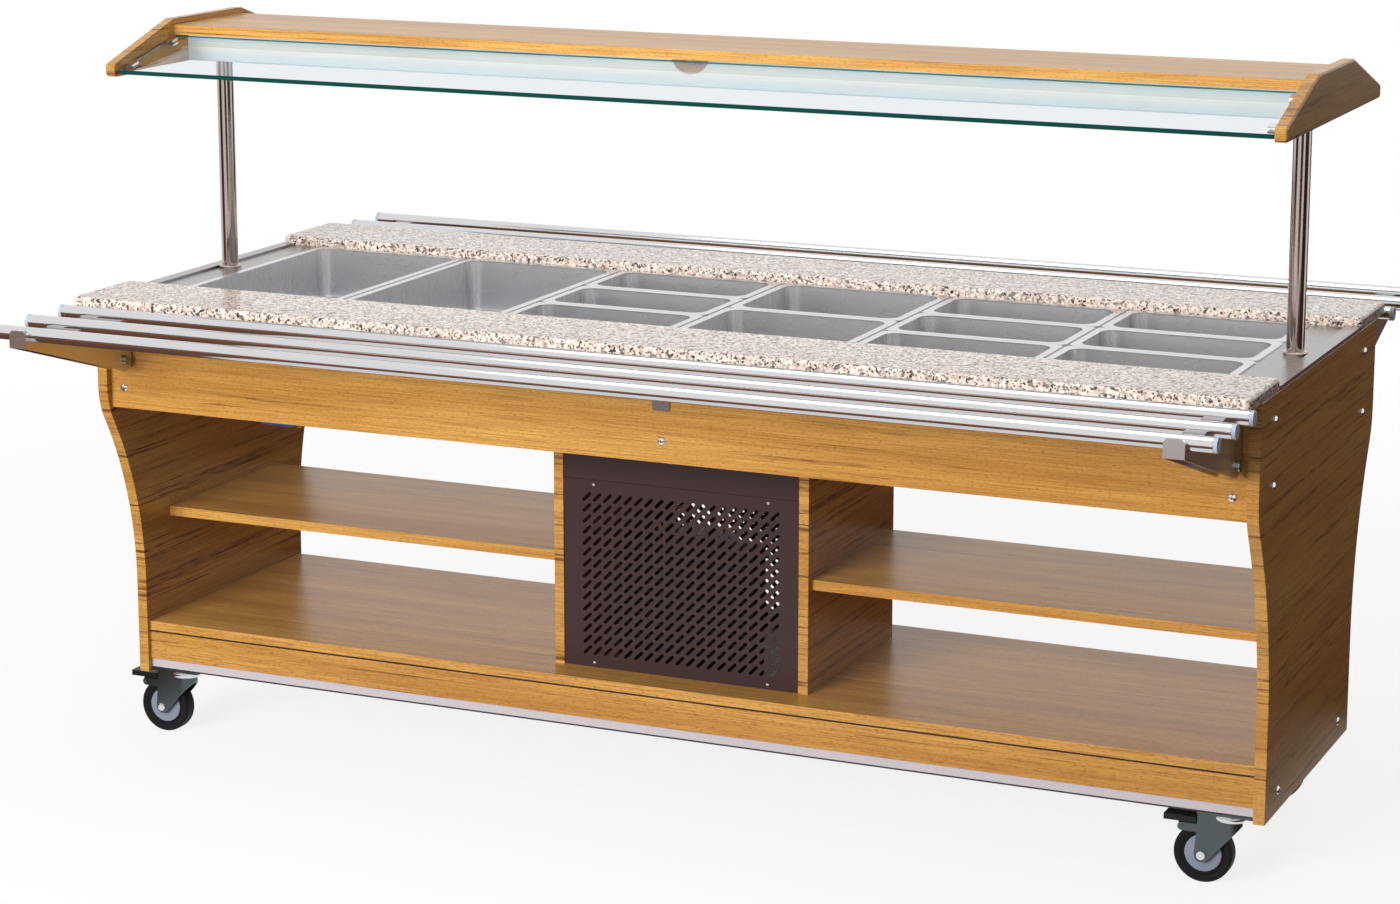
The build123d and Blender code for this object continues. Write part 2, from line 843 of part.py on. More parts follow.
# Half-round switch plate on the front of the light box, with its rocker
switch_z = top_board_bottom - switch_drop
with BuildPart() as switch_plate:
    with BuildSketch(Plane.XZ.offset(light_box_half_depth)):
        with Locations((switch_plate_x, top_board_bottom)):
            Circle(switch_plate_radius)
            Rectangle(
                2 * switch_plate_radius,
                switch_plate_radius,
                align=(Align.CENTER, Align.MIN),
                mode=Mode.SUBTRACT,
            )
        with Locations((switch_plate_x, switch_z)):
            Rectangle(rocker_width, rocker_height, mode=Mode.SUBTRACT)
    extrude(amount=switch_plate_thick)
write_piece(switch_plate, "switch_plate")


def rocker(middle, width, height, turn):
    with Locations(Location(middle, (turn, 0, 0))):
        Box(width - 2 * rocker_gap, rocker_depth, height - 4 * rocker_gap)


switch_y = -light_box_half_depth - switch_plate_thick + rocker_depth / 2 - rocker_gap
with BuildPart() as light_switch:
    rocker((switch_plate_x, switch_y, switch_z), rocker_width, rocker_height, -rocker_tilt)
write_piece(light_switch, "light_switch")

# Machine grilles at both ends of the bay: folded sheet, plain header plate above, slots cut last
control_z = jacket_bottom - control_drop - control_height / 2
control_face = grille_face + control_proud
for name, side in (("front_grille", -1), ("rear_grille", 1)):
    with BuildPart() as machine_grille:
        with Locations((0, side * (grille_face - grille_sheet / 2), base_top)):
            Box(
                2 * grille_half_width,
                grille_sheet,
                grille_height,
                align=(Align.CENTER, Align.CENTER, Align.MIN),
            )
        with Locations((0, side * (grille_face - grille_return / 2), base_top)):
            Box(
                2 * grille_half_width,
                grille_return,
                grille_sheet,
                align=(Align.CENTER, Align.CENTER, Align.MIN),
            )
            with GridLocations(2 * grille_half_width - grille_sheet, 0, 2, 1):
                Box(
                    grille_sheet,
                    grille_return,
                    grille_height,
                    align=(Align.CENTER, Align.CENTER, Align.MIN),
                )
        with Locations((0, side * (grille_face - grille_sheet / 2), grille_top + header_gap)):
            Box(
                2 * grille_half_width,
                grille_sheet,
                jacket_bottom - grille_top - header_gap,
                align=(Align.CENTER, Align.CENTER, Align.MIN),
            )
        if side > 0:
            with Locations((control_x, grille_face - grille_sheet / 2, control_z)):
                Box(
                    control_length + 2 * control_cut_gap,
                    2 * grille_sheet,
                    control_height + 2 * control_cut_gap,
                    mode=Mode.SUBTRACT,
                )
        with BuildSketch(Plane.XZ.offset(-side * grille_face)):
            with Locations((0, base_top + grille_height / 2)):
                with GridLocations(slot_pitch, slot_pitch, slot_columns, slot_rows):
                    SlotOverall(slot_length, slot_width, rotation=-side * slot_angle)
        extrude(amount=2 * grille_sheet, both=True, mode=Mode.SUBTRACT)
    write_piece(machine_grille, name)

# Control box behind the rear header plate, with the power switch opening and the mains inlet
power_x = control_x + power_switch_offset
inlet_x = control_x + inlet_offset
box_face = grille_face - grille_sheet
with BuildPart() as control_box:
    block(
        (
            control_x - control_length / 2 - control_step,
            box_face - control_depth,
            control_z - control_height / 2 - control_step,
        ),
        (
            control_x + control_length / 2 + control_step,
            box_face,
            control_z + control_height / 2 + control_step,
        ),
    )
    block(
        (control_x - control_length / 2, box_face, control_z - control_height / 2),
        (control_x + control_length / 2, control_face, control_z + control_height / 2),
    )
    with Locations((power_x, control_face, control_z)):
        Box(
            power_rocker_width,
            2 * (rocker_depth + rocker_gap),
            power_rocker_height,
            mode=Mode.SUBTRACT,
        )
    with Locations((inlet_x, control_face, control_z)):
        Box(inlet_length, 2 * inlet_depth, inlet_height, mode=Mode.SUBTRACT)
    with Locations((inlet_x, control_face - inlet_depth, control_z)):
        with GridLocations(inlet_pin_pitch, 0, 3, 1):
            Box(
                inlet_pin_size,
                inlet_pin_length,
                2 * inlet_pin_size,
                align=(Align.CENTER, Align.MIN, Align.CENTER),
            )
write_piece(control_box, "control_box")

power_y = control_face - rocker_depth / 2 + rocker_gap
with BuildPart() as power_switch:
    rocker((power_x, power_y, control_z), power_rocker_width, power_rocker_height, rocker_tilt)
write_piece(power_switch, "power_switch")

# Hermetic compressor on a plate with four feet
plate_bottom = base_top + compressor_foot_height
can_bottom = plate_bottom + compressor_plate_thick
plate_side = 2 * (compressor_radius + compressor_plate_margin)
foot_spread = plate_side - 2 * compressor_foot_radius
with BuildPart() as compressor:
    with Locations((compressor_x, compressor_y, base_top)):
        with GridLocations(foot_spread, foot_spread, 2, 2):
            Cylinder(
                compressor_foot_radius,
                compressor_foot_height,
                align=(Align.CENTER, Align.CENTER, Align.MIN),
            )
    with BuildSketch(Plane((compressor_x, compressor_y, plate_bottom))):
        RectangleRounded(plate_side, plate_side, compressor_foot_radius)
    extrude(amount=compressor_plate_thick)
    rod((compressor_x, compressor_y, can_bottom), compressor_radius, compressor_height, upward)
    fillet(compressor.faces().sort_by(Axis.Z)[-1].edges(), compressor_dome)
    for x in (suction_x, discharge_x):
        rod((x, compressor_y, compressor_top), pipe_stub_radius, pipe_stub_height, upward)
write_piece(compressor, "compressor")

# Finned condenser behind the front grille
fin_rows = int(condenser_height / condenser_fin_pitch) - 1
with BuildPart() as condenser:
    with Locations((0, condenser_y, base_top)):
        Box(
            condenser_length,
            condenser_depth,
            condenser_height,
            align=(Align.CENTER, Align.CENTER, Align.MIN),
        )
    for row in range(fin_rows):
        fin_z = base_top + condenser_height / 2 + (row - (fin_rows - 1) / 2) * condenser_fin_pitch
        with Locations((0, condenser_y - condenser_depth / 2, fin_z)):
            Box(
                condenser_length - 2 * condenser_plate,
                2 * condenser_fin_depth,
                condenser_fin_cut,
                mode=Mode.SUBTRACT,
            )
write_piece(condenser, "condenser")

# Fan motor on its foot, and the five-bladed fan on the motor's shaft
fan_z = base_top + fan_axis_height
rotor_front = condenser_y + condenser_depth / 2 + fan_gap
rotor_back = rotor_front + fan_hub_length
motor_front = rotor_back + fan_motor_gap
with BuildPart() as fan_motor:
    rod((0, motor_front, fan_z), fan_motor_radius, fan_motor_length, to_back)
    rod((0, motor_front, fan_z), fan_shaft_radius, motor_front - rotor_front, to_front)
    with Locations((0, motor_front + fan_motor_length / 2, base_top)):
        Box(
            fan_foot_width,
            fan_foot_thick,
            fan_axis_height,
            align=(Align.CENTER, Align.CENTER, Align.MIN),
        )
write_piece(fan_motor, "fan_motor")

with BuildPart() as fan_rotor:
    rod((0, rotor_front, fan_z), fan_hub_radius, fan_hub_length, to_back)
    blade_length = fan_radius - fan_hub_radius / 2
    blade_chord = fan_blade_cover * fan_hub_length / math.sin(math.radians(fan_blade_pitch))
    for number in range(fan_blade_count):
        blade_turn = Location(
            (0, rotor_front + fan_hub_length / 2, fan_z),
            (0, 360 * number / fan_blade_count, 0),
        )
        with Locations(blade_turn * Location((0, 0, fan_hub_radius / 2), (0, 0, fan_blade_pitch))):
            Box(
                blade_chord,
                fan_blade_thick,
                blade_length,
                align=(Align.CENTER, Align.CENTER, Align.MIN),
            )
    rod((0, rotor_front, fan_z), fan_shaft_radius + running_fit, fan_hub_length, to_back, Mode.SUBTRACT)
write_piece(fan_rotor, "fan_rotor")

# Tray slides: capped tubes on two folding channel brackets, each on a pivot block at the apron
tube_ys = [tube_first_y + number * tube_pitch for number in range(tube_count)]
bracket_xs = (-body_half + bracket_inset, body_half - bracket_inset)

with BuildPart() as tray_rails:
    for y in tube_ys:
        rod((-tube_half_length, -y, tube_axis_z), tube_radius, 2 * tube_half_length, to_right)
        rod(
            (-tube_half_length, -y, tube_axis_z),
            tube_radius - tube_wall,
            2 * tube_half_length,
            to_right,
            Mode.SUBTRACT,
        )
with BuildPart() as tube_cap:
    rod((0, 0, 0), tube_radius, cap_length, to_right)
    fillet(tube_cap.faces().sort_by(Axis.X)[-1].edges(), edge_round)
    rod((0, 0, 0), tube_radius - tube_wall - cap_fit, cap_plug_length, to_left)
with BuildPart() as capped_rails:
    add(tray_rails.part)
    for y in tube_ys:
        with Locations(
            Location((tube_half_length + cap_fit, -y, tube_axis_z)),
            Location((-tube_half_length - cap_fit, -y, tube_axis_z), (0, 0, 180)),
        ):
            add(tube_cap.part)

bracket_top = tube_axis_z - tube_radius + bracket_seat_depth
nose_back = tube_ys[-1] + tube_radius
bracket_front = nose_back + bracket_nose
nose_bottom = tube_axis_z - bracket_nose_drop
nose_top = tube_axis_z + bracket_nose_rise
root_back = pivot_y - bracket_root_radius
# Angle at which the sloping lower edge leaves the root circle
root_run = bracket_front - pivot_y
root_rise = nose_bottom - pivot_z
root_reach = math.hypot(root_run, root_rise)
root_angle = math.atan2(root_rise, root_run) - math.asin(bracket_root_radius / root_reach)
root_leave = (
    -pivot_y - bracket_root_radius * math.sin(root_angle),
    pivot_z - bracket_root_radius * math.cos(root_angle),
)


with BuildPart() as channel:
    with BuildSketch(Plane.YZ):
        with BuildLine():
            Polyline(
                (-root_back, pivot_z),
                (-root_back, bracket_top),
                (-nose_back, bracket_top),
                (-nose_back, nose_top),
                (-bracket_front, nose_top),
                (-bracket_front, nose_bottom),
                root_leave,
            )
            RadiusArc(root_leave, (-root_back, pivot_z), -bracket_root_radius)
        make_face()
    extrude(amount=bracket_width / 2, both=True)
    chamfer(channel.edges().filter_by(Axis.Y).group_by(Axis.Z)[-1], bracket_nose_chamfer)
    block(
        (
            bracket_sheet - bracket_width / 2,
            bracket_sheet - bracket_front,
            pivot_z - 2 * bracket_root_radius,
        ),
        (bracket_width / 2 - bracket_sheet, -root_back, bracket_top - bracket_sheet),
        Mode.SUBTRACT,
    )
    for y in tube_ys:
        rod(
            (-bracket_width, -y, tube_axis_z),
            tube_radius + bracket_seat_gap,
            2 * bracket_width,
            to_right,
            Mode.SUBTRACT,
        )
    rod(
        (-bracket_width, -pivot_y, pivot_z),
        pivot_bolt_radius + running_fit,
        2 * bracket_width,
        to_right,
        Mode.SUBTRACT,
    )
with BuildPart() as tray_brackets:
    with Locations(*[(x, 0, 0) for x in bracket_xs]):
        add(channel.part)

for name, turn in (("front", Location((0, 0, 0))), ("rear", half_turn)):
    with BuildPart() as placed_rails:
        with Locations(turn):
            add(capped_rails.part)
    write_piece(placed_rails, f"{name}_tray_rails")
    with BuildPart() as placed_brackets:
        with Locations(turn):
            add(tray_brackets.part)
    write_piece(placed_brackets, f"{name}_tray_brackets")

block_half = bracket_width / 2 - bracket_sheet - pivot_side_gap
bolt_half = bracket_width / 2 + pivot_side_gap
with BuildPart() as pivot:
    with Locations((0, -apron_face, pivot_z)):
        Box(
            pivot_plate_width,
            pivot_plate_thick,
            pivot_plate_height,
            align=(Align.CENTER, Align.MAX, Align.CENTER),
        )
    block(
        (-block_half, -pivot_y, pivot_z - pivot_block_radius),
        (block_half, -apron_face - pivot_plate_thick, pivot_z + pivot_block_radius),
    )
    rod((-block_half, -pivot_y, pivot_z), pivot_block_radius, 2 * block_half, to_right)
    rod((-bolt_half, -pivot_y, pivot_z), pivot_bolt_radius, 2 * bolt_half, to_right)
    rod((bolt_half, -pivot_y, pivot_z), pivot_head_radius, pivot_head_height, to_right)
    rod((-bolt_half, -pivot_y, pivot_z), pivot_head_radius, pivot_head_height, to_left)
# Small plate with a dome-head screw on the middle of the apron, above the apron's own screw
with BuildPart() as mid_plate:
    with BuildSketch(Plane.XZ.offset(apron_face)):
        with Locations((mid_plate_x, mid_plate_z)):
            RectangleRounded(mid_plate_width, mid_plate_height, mid_plate_round)
    extrude(amount=pivot_plate_thick)
    rod(
        (mid_plate_x, -apron_face - pivot_plate_thick, mid_plate_z),
        screw_head_radius,
        screw_head_height,
        to_front,
    )
with BuildPart() as front_pivots:
    add(mid_plate.part)
    with Locations(*[(x, 0, 0) for x in bracket_xs]):
        add(pivot.part)
with BuildPart() as tray_pivots:
    with Locations(*both_ends):
        add(front_pivots.part)
write_piece(tray_pivots, "tray_pivots")

# Casters, drawn about a kingpin at the origin with the wheel trailing to the left
caster_x = body_half - caster_inset_x
caster_y = panel_foot_half_depth - caster_inset_y
head_top = caster_height - caster_plate_thick
head_bottom = head_top - swivel_head_height
crown_top = head_bottom - swivel_gap
crown_bottom = crown_top - fork_crown_thick
nut_top = crown_bottom - swivel_gap
fork_inner = wheel_width / 2 + fork_side_gap
fork_outer = fork_inner + fork_sheet
brake_pin_z = crown_top - brake_pin_drop
caster_corners = {
    "front_left": (-caster_x, -caster_y, 0),
    "front_right": (caster_x, -caster_y, 0),
    "rear_left": (-caster_x, caster_y, 0),
    "rear_right": (caster_x, caster_y, 0),
}

with BuildPart() as caster_plate:
    with BuildSketch(Plane.XY.offset(head_top)):
        RectangleRounded(caster_plate_length, caster_plate_width, caster_plate_thick)
    extrude(amount=caster_plate_thick)
    rod((0, 0, head_bottom), swivel_head_radius, swivel_head_height, upward)
    rod((0, 0, nut_top), kingpin_radius, head_bottom - nut_top, upward)
    with BuildSketch(Plane.XY.offset(nut_top)):
        RegularPolygon(kingpin_nut_radius, 6)
    extrude(amount=-kingpin_nut_height)
with BuildPart() as caster_plates:
    with Locations(*caster_corners.values()):
        add(caster_plate.part)
write_piece(caster_plates, "caster_plates")

with BuildPart() as fork:
    with BuildSketch(Plane.XZ):
        with BuildLine() as leg_lines:
            CenterArc((-caster_trail, wheel_radius), fork_eye_radius, 0, 360)
            Line((-fork_crown_back, crown_top), (fork_crown_front, crown_top))
        make_hull(leg_lines.edges())
    extrude(amount=fork_outer, both=True)
    block(
        (-2 * fork_crown_back, -fork_inner, 0),
        (2 * fork_crown_back, fork_inner, crown_bottom),
        Mode.SUBTRACT,
    )
    block(
        (-2 * fork_crown_back, -fork_inner, 0),
        (-caster_trail, fork_inner, crown_top),
        Mode.SUBTRACT,
    )
    rod((0, 0, crown_bottom), kingpin_radius + running_fit, fork_crown_thick, upward, Mode.SUBTRACT)
    rod((-caster_trail, -fork_outer, wheel_radius), axle_radius, 2 * fork_outer, to_back)
    for turn, y in ((to_front, -fork_outer), (to_back, fork_outer)):
        rod((-caster_trail, y, wheel_radius), axle_head_radius, axle_head_height, turn)

with BuildPart() as braked_fork:
    with BuildSketch(Plane.XZ):
        with BuildLine() as ear_lines:
            CenterArc((-brake_pin_back, brake_pin_z), fork_ear_radius, 0, 360)
            Line(
                (-caster_trail, brake_pin_z - fork_ear_radius),
                (-caster_trail, brake_pin_z + fork_ear_radius),
            )
        make_hull(ear_lines.edges())
    extrude(amount=fork_outer, both=True)
    block((-2 * brake_pin_back, -fork_inner, 0), (0, fork_inner, crown_top), Mode.SUBTRACT)
    add(fork.part)
    rod((-brake_pin_back, -fork_outer, brake_pin_z), brake_pin_radius, 2 * fork_outer, to_back)

with BuildPart() as wheel:
    with BuildSketch(Plane.XZ):
        with Locations((-caster_trail, wheel_radius)):
            Circle(wheel_radius)
            Circle(hub_radius + running_fit, mode=Mode.SUBTRACT)
    extrude(amount=wheel_width / 2, both=True)
    fillet(wheel.faces().filter_by(GeomType.CYLINDER).sort_by(SortBy.AREA)[-1].edges(), wheel_round)
    with BuildSketch(Plane.XZ):
        with Locations((-caster_trail, wheel_radius)):
            Circle(hub_radius)
    extrude(amount=wheel_width / 2 - hub_recess, both=True)
    with BuildSketch(Plane.XZ):
        with Locations((-caster_trail, wheel_radius)):
            Circle(hub_boss_radius)
    extrude(amount=fork_inner - swivel_gap, both=True)
    rod(
        (-caster_trail, -wheel_width, wheel_radius),
        axle_radius + running_fit,
        2 * wheel_width,
        to_back,
        Mode.SUBTRACT,
    )

toe_bottom = brake_pin_z + brake_toe_lift
arm_half_width = fork_inner - brake_side_gap
with BuildPart() as brake:
    rod((-brake_pin_back, -arm_half_width, brake_pin_z), brake_hub_radius, 2 * arm_half_width, to_back)
    block(
        (-brake_pin_back - brake_hub_radius, -arm_half_width, brake_pin_z),
        (brake_hub_radius - brake_pin_back, arm_half_width, toe_bottom),
    )
    block(
        (-brake_reach, -brake_toe_width / 2, toe_bottom),
        (-brake_toe_front, brake_toe_width / 2, toe_bottom + brake_toe_thick),
    )
    rod(
        (-brake_pin_back, -fork_inner, brake_pin_z),
        brake_pin_radius + running_fit,
        2 * fork_inner,
        to_back,
        Mode.SUBTRACT,
    )

for corner, place in caster_corners.items():
    corner_pieces = {"fork": braked_fork if corner.startswith("front") else fork, "wheel": wheel}
    if corner.startswith("front"):
        corner_pieces["brake"] = brake
    for kind, drawn in corner_pieces.items():
        with BuildPart() as placed:
            with Locations(place):
                add(drawn.part)
        write_piece(placed, f"{corner}_{kind}")
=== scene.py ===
import math

import bmesh
import bpy
from mathutils import Matrix, Vector


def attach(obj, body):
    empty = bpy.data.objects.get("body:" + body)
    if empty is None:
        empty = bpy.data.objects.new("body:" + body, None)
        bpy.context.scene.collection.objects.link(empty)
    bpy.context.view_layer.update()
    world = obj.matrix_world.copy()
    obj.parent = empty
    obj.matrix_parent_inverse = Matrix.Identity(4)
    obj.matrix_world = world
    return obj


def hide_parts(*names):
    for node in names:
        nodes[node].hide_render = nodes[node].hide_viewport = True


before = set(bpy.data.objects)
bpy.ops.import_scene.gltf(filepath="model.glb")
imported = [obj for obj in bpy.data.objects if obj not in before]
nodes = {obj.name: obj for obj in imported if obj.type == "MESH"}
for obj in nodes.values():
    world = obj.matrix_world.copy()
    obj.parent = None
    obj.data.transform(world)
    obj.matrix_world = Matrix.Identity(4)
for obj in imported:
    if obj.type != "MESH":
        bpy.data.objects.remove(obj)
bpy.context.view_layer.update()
scene = bpy.context.scene
mm = 0.001


def hexColour(text):  # sRGB hex to linear RGBA
    channels = [int(text[at:at + 2], 16) / 255 for at in (1, 3, 5)]
    return [c / 12.92 if c <= 0.04045 else ((c + 0.055) / 1.055) ** 2.4 for c in channels] + [1.0]


def addNode(tree, kind, settings=None, values=None, links=None, stops=()):  # one node, set up and linked
    node = tree.nodes.new(kind)
    for name, value in (settings or {}).items():
        setattr(node, name, value)
    for socket, value in (values or {}).items():
        isHex = isinstance(value, str) and value.startswith("#")
        node.inputs[socket].default_value = hexColour(value) if isHex else value
    for socket, source in (links or {}).items():  # a node as source stands for its first output
        tree.links.new(getattr(source, "outputs", [source])[0], node.inputs[socket])
    if stops:  # (place, colour) pairs on a colour ramp
        elements = node.color_ramp.elements
        while len(elements) < len(stops):
            elements.new(1.0)
        for element, (place, colour) in zip(elements, stops):
            element.position = place
            element.color = hexColour(colour)
    return node


def startMaterial(name):  # material with an empty node tree
    material = bpy.data.materials.new(name)
    material.use_nodes = True
    material.node_tree.nodes.clear()
    return material, material.node_tree


def perCell(sizes):  # scale that counts coordinates in cells of the given mm sizes
    return [1 / (size * mm) for size in sizes]


def paintBand(tree, place, colour, low, high, tone):  # lays a tone over the colour between two heights in mm
    height = addNode(tree, "ShaderNodeSeparateXYZ", links={0: place}).outputs[2]
    middle = (low + high) / 2 * mm
    half = (high - low) / 2 * mm
    inside = addNode(tree, "ShaderNodeMath", {"operation": "COMPARE"}, {1: middle, 2: half}, {0: height})
    return addNode(tree, "ShaderNodeMix", {"data_type": "RGBA"}, {7: tone}, {0: inside, 6: colour}).outputs[2]


# Wood decor laminate: honey gold, fine lines and broken dark streaks along the grain, a soft sheen
woodLook = {
    "band": {"mm": (1400, 60), "detail": 3.0, "rough": 0.5, "warp": 0.4,
             "stops": [(0.30, "#B07E3A"), (0.48, "#C18E47"), (0.68, "#D0A055")]},
    "line": {"mm": (150, 2.2), "detail": 4.0, "rough": 0.6, "warp": 0.2,
             "stops": [(0.36, "#CACACA"), (0.59, "#000000")]},
    "boardStreak": {"mm": (620, 7), "detail": 3.0, "rough": 0.55, "warp": 0.5,
                    "stops": [(0.30, "#FFFFFF"), (0.37, "#000000")]},
    "panelStreak": {"mm": (620, 7), "detail": 3.0, "rough": 0.55, "warp": 0.5,
                    "stops": [(0.39, "#FFFFFF"), (0.45, "#000000")]},  # upright panels have more of them
    "dash": {"mm": (60, 3), "detail": 2.0, "rough": 0.5, "warp": 0.0,
             "stops": [(0.38, "#303030"), (0.58, "#FFFFFF")]},  # breaks the streaks up
    "pore": {"mm": (8, 2.0), "detail": 3.0, "rough": 0.6, "warp": 0.0,  # real ones are under 1 mm wide
             "stops": [(0.53, "#000000"), (0.66, "#BEBEBE")]},  # drawn coarser so that they show
    "tones": {"line": "#8C5A25", "streak": "#6C4119", "pore": "#6E431B"},
    "roughness": 0.30, "shine": 0.4, "bump": 0.12, "bumpMm": 0.15,
    "paintedJointShade": (200.6, 204.0, "#4A3018"),  # painted shade in the joint over the plinth
}


def woodMaterial(name, upright):  # grain runs along X, and along Y too on upright panels
    look = woodLook
    material, tree = startMaterial(name)
    place = addNode(tree, "ShaderNodeTexCoord").outputs["Object"]
    streak = "panelStreak" if upright else "boardStreak"
    grain = {}
    for key in ("band", "line", streak, "dash", "pore"):
        along, across = look[key]["mm"]
        scale = perCell((along, along if upright else across, across))
        cells = addNode(tree, "ShaderNodeMapping", values={"Scale": scale}, links={"Vector": place})
        noise = addNode(tree, "ShaderNodeTexNoise", links={"Vector": cells}, values={
            "Scale": 1.0, "Detail": look[key]["detail"], "Roughness": look[key]["rough"],
            "Distortion": look[key]["warp"]})
        grain[key] = addNode(tree, "ShaderNodeValToRGB", links={"Fac": noise}, stops=look[key]["stops"])
    grain["streak"] = addNode(tree, "ShaderNodeMath", {"operation": "MULTIPLY"},
                              links={0: grain[streak], 1: grain["dash"]})
    colour = grain["band"].outputs[0]
    for key, tone in look["tones"].items():
        mix = addNode(tree, "ShaderNodeMix", {"data_type": "RGBA"}, {7: tone}, {0: grain[key], 6: colour})
        colour = mix.outputs[2]
    # boards get a painted shade along the joint over the plinth
    if not upright:
        colour = paintBand(tree, place, colour, *look["paintedJointShade"])
    bump = addNode(tree, "ShaderNodeBump", {"invert": True}, links={"Height": grain["pore"]}, values={
        "Strength": look["bump"], "Distance": look["bumpMm"] * mm})
    shader = addNode(tree, "ShaderNodeBsdfPrincipled", links={"Base Color": colour, "Normal": bump}, values={
        "Roughness": look["roughness"], "Specular IOR Level": look["shine"]})
    addNode(tree, "ShaderNodeOutputMaterial", links={"Surface": shader})
    return material


# Granite: cream and pinkish grains between grey and near-black ones, honed smooth
graniteLook = {"grainMm": 4.4, "speckMm": 2.4, "warpMm": 4.0, "warp": 0.55, "warpDetail": 3.0,
               "speck": "#3F3937", "speckShare": 0.91, "roughness": 0.16,
               "grains": [(0.0, "#3A3534"), (0.06, "#7A716C"), (0.17, "#AD9F96"), (0.33, "#CEBDB1"),
                          (0.56, "#DFCDC0"), (0.78, "#CCB3A7"), (0.90, "#EADFD4")]}


def graniteMaterial(name):
    look = graniteLook
    material, tree = startMaterial(name)
    place = addNode(tree, "ShaderNodeTexCoord").outputs["Object"]
    cells = {}
    for key in ("warpMm", "grainMm", "speckMm"):
        cells[key] = addNode(tree, "ShaderNodeMapping", values={"Scale": perCell([look[key]] * 3)},
                             links={"Vector": place})
    warp = addNode(tree, "ShaderNodeTexNoise", values={"Scale": 1.0, "Detail": look["warpDetail"]},
                   links={"Vector": cells["warpMm"]})
    push = addNode(tree, "ShaderNodeVectorMath", {"operation": "SCALE"}, {"Scale": look["warp"]},
                   {0: warp.outputs["Color"]})
    draws = {}
    for key in ("grainMm", "speckMm"):  # one draw of colour per cell
        moved = addNode(tree, "ShaderNodeVectorMath", links={0: cells[key], 1: push})
        grains = addNode(tree, "ShaderNodeTexVoronoi", values={"Scale": 1.0}, links={"Vector": moved})
        draws[key] = addNode(tree, "ShaderNodeSeparateColor", links={0: grains.outputs["Color"]}).outputs
    ramp = addNode(tree, "ShaderNodeValToRGB", links={"Fac": draws["grainMm"][0]}, stops=look["grains"])
    ramp.color_ramp.interpolation = "CONSTANT"
    specks = addNode(tree, "ShaderNodeMath", {"operation": "GREATER_THAN"}, {1: look["speckShare"]},
                     {0: draws["speckMm"][1]})
    mix = addNode(tree, "ShaderNodeMix", {"data_type": "RGBA"}, {7: look["speck"]}, {0: specks, 6: ramp})
    shader = addNode(tree, "ShaderNodeBsdfPrincipled", values={"Roughness": look["roughness"]},
                     links={"Base Color": mix.outputs[2]})
    addNode(tree, "ShaderNodeOutputMaterial", links={"Surface": shader})
    return material


metalLooks = {  # common name, colour, roughness, its spread, brush marks in mm, their depth in mm
    "stainless": ("satin stainless steel", "#A29F9D", 0.28, 0.08, (220, 1.2, 1.2), 0.02),  # soft long glints
    "pan_steel": ("pressed pan steel", "#D8D8DA", 0.28, 0.06, (90, 1.6, 60), 0.03),  # drawn marks
    "stainless_tube": ("polished stainless tube", "#D8D7D9", 0.12, 0.03, (300, 3, 3), 0.01),  # sharp line
    "post": ("polished post tube", "#B9ABA5", 0.09, 0.03, (3, 3, 300), 0.01),  # crisp upright stripes; the darker warm tone is painted reflection of the wood
    "bracket": ("pressed bracket steel", "#D3D3D5", 0.24, 0.05, (60, 60, 3), 0.02),  # soft mirror
    "plate": ("satin switch plate", "#8C8480", 0.36, 0.06, (40, 40, 2), 0.02),  # grey-brown half disc
    "chrome": ("chrome plate", "#E2E3E6", 0.07, 0.02, (40, 40, 40), 0.01),  # mirror glints
    "zinc": ("zinc plated steel", "#5E6669", 0.34, 0.08, (6, 6, 6), 0.03),  # dull cool grey
    "copper": ("copper pipe", "#C47A52", 0.28, 0.07, (50, 4, 4), 0.02),  # warm pipe
    "brass": ("nickel plated brass", "#C9C2AE", 0.22, 0.05, (8, 8, 8), 0.02),  # yellowish grey
    "fin_aluminium": ("aluminium fins", "#3A3B3D", 0.46, 0.06, (4, 4, 30), 0.02),  # fins painted dark as shade behind the grille slots
}
brushLook = {"detail": 4.0, "bump": 0.1}


def metalMaterial(name, colour, roughness, spread, brushMm, depthMm):  # bare metal with brush marks
    material, tree = startMaterial(name)
    place = addNode(tree, "ShaderNodeTexCoord").outputs["Object"]
    cells = addNode(tree, "ShaderNodeMapping", values={"Scale": perCell(brushMm)}, links={"Vector": place})
    marks = addNode(tree, "ShaderNodeTexNoise", values={"Scale": 1.0, "Detail": brushLook["detail"]},
                    links={"Vector": cells})
    rough = addNode(tree, "ShaderNodeMapRange", links={"Value": marks}, values={
        "To Min": roughness - spread, "To Max": roughness + spread})
    bump = addNode(tree, "ShaderNodeBump", links={"Height": marks}, values={
        "Strength": brushLook["bump"], "Distance": depthMm * mm})
    shader = addNode(tree, "ShaderNodeBsdfPrincipled", values={"Base Color": colour, "Metallic": 1.0},
                     links={"Roughness": rough, "Normal": bump})
    addNode(tree, "ShaderNodeOutputMaterial", links={"Surface": shader})
    return material


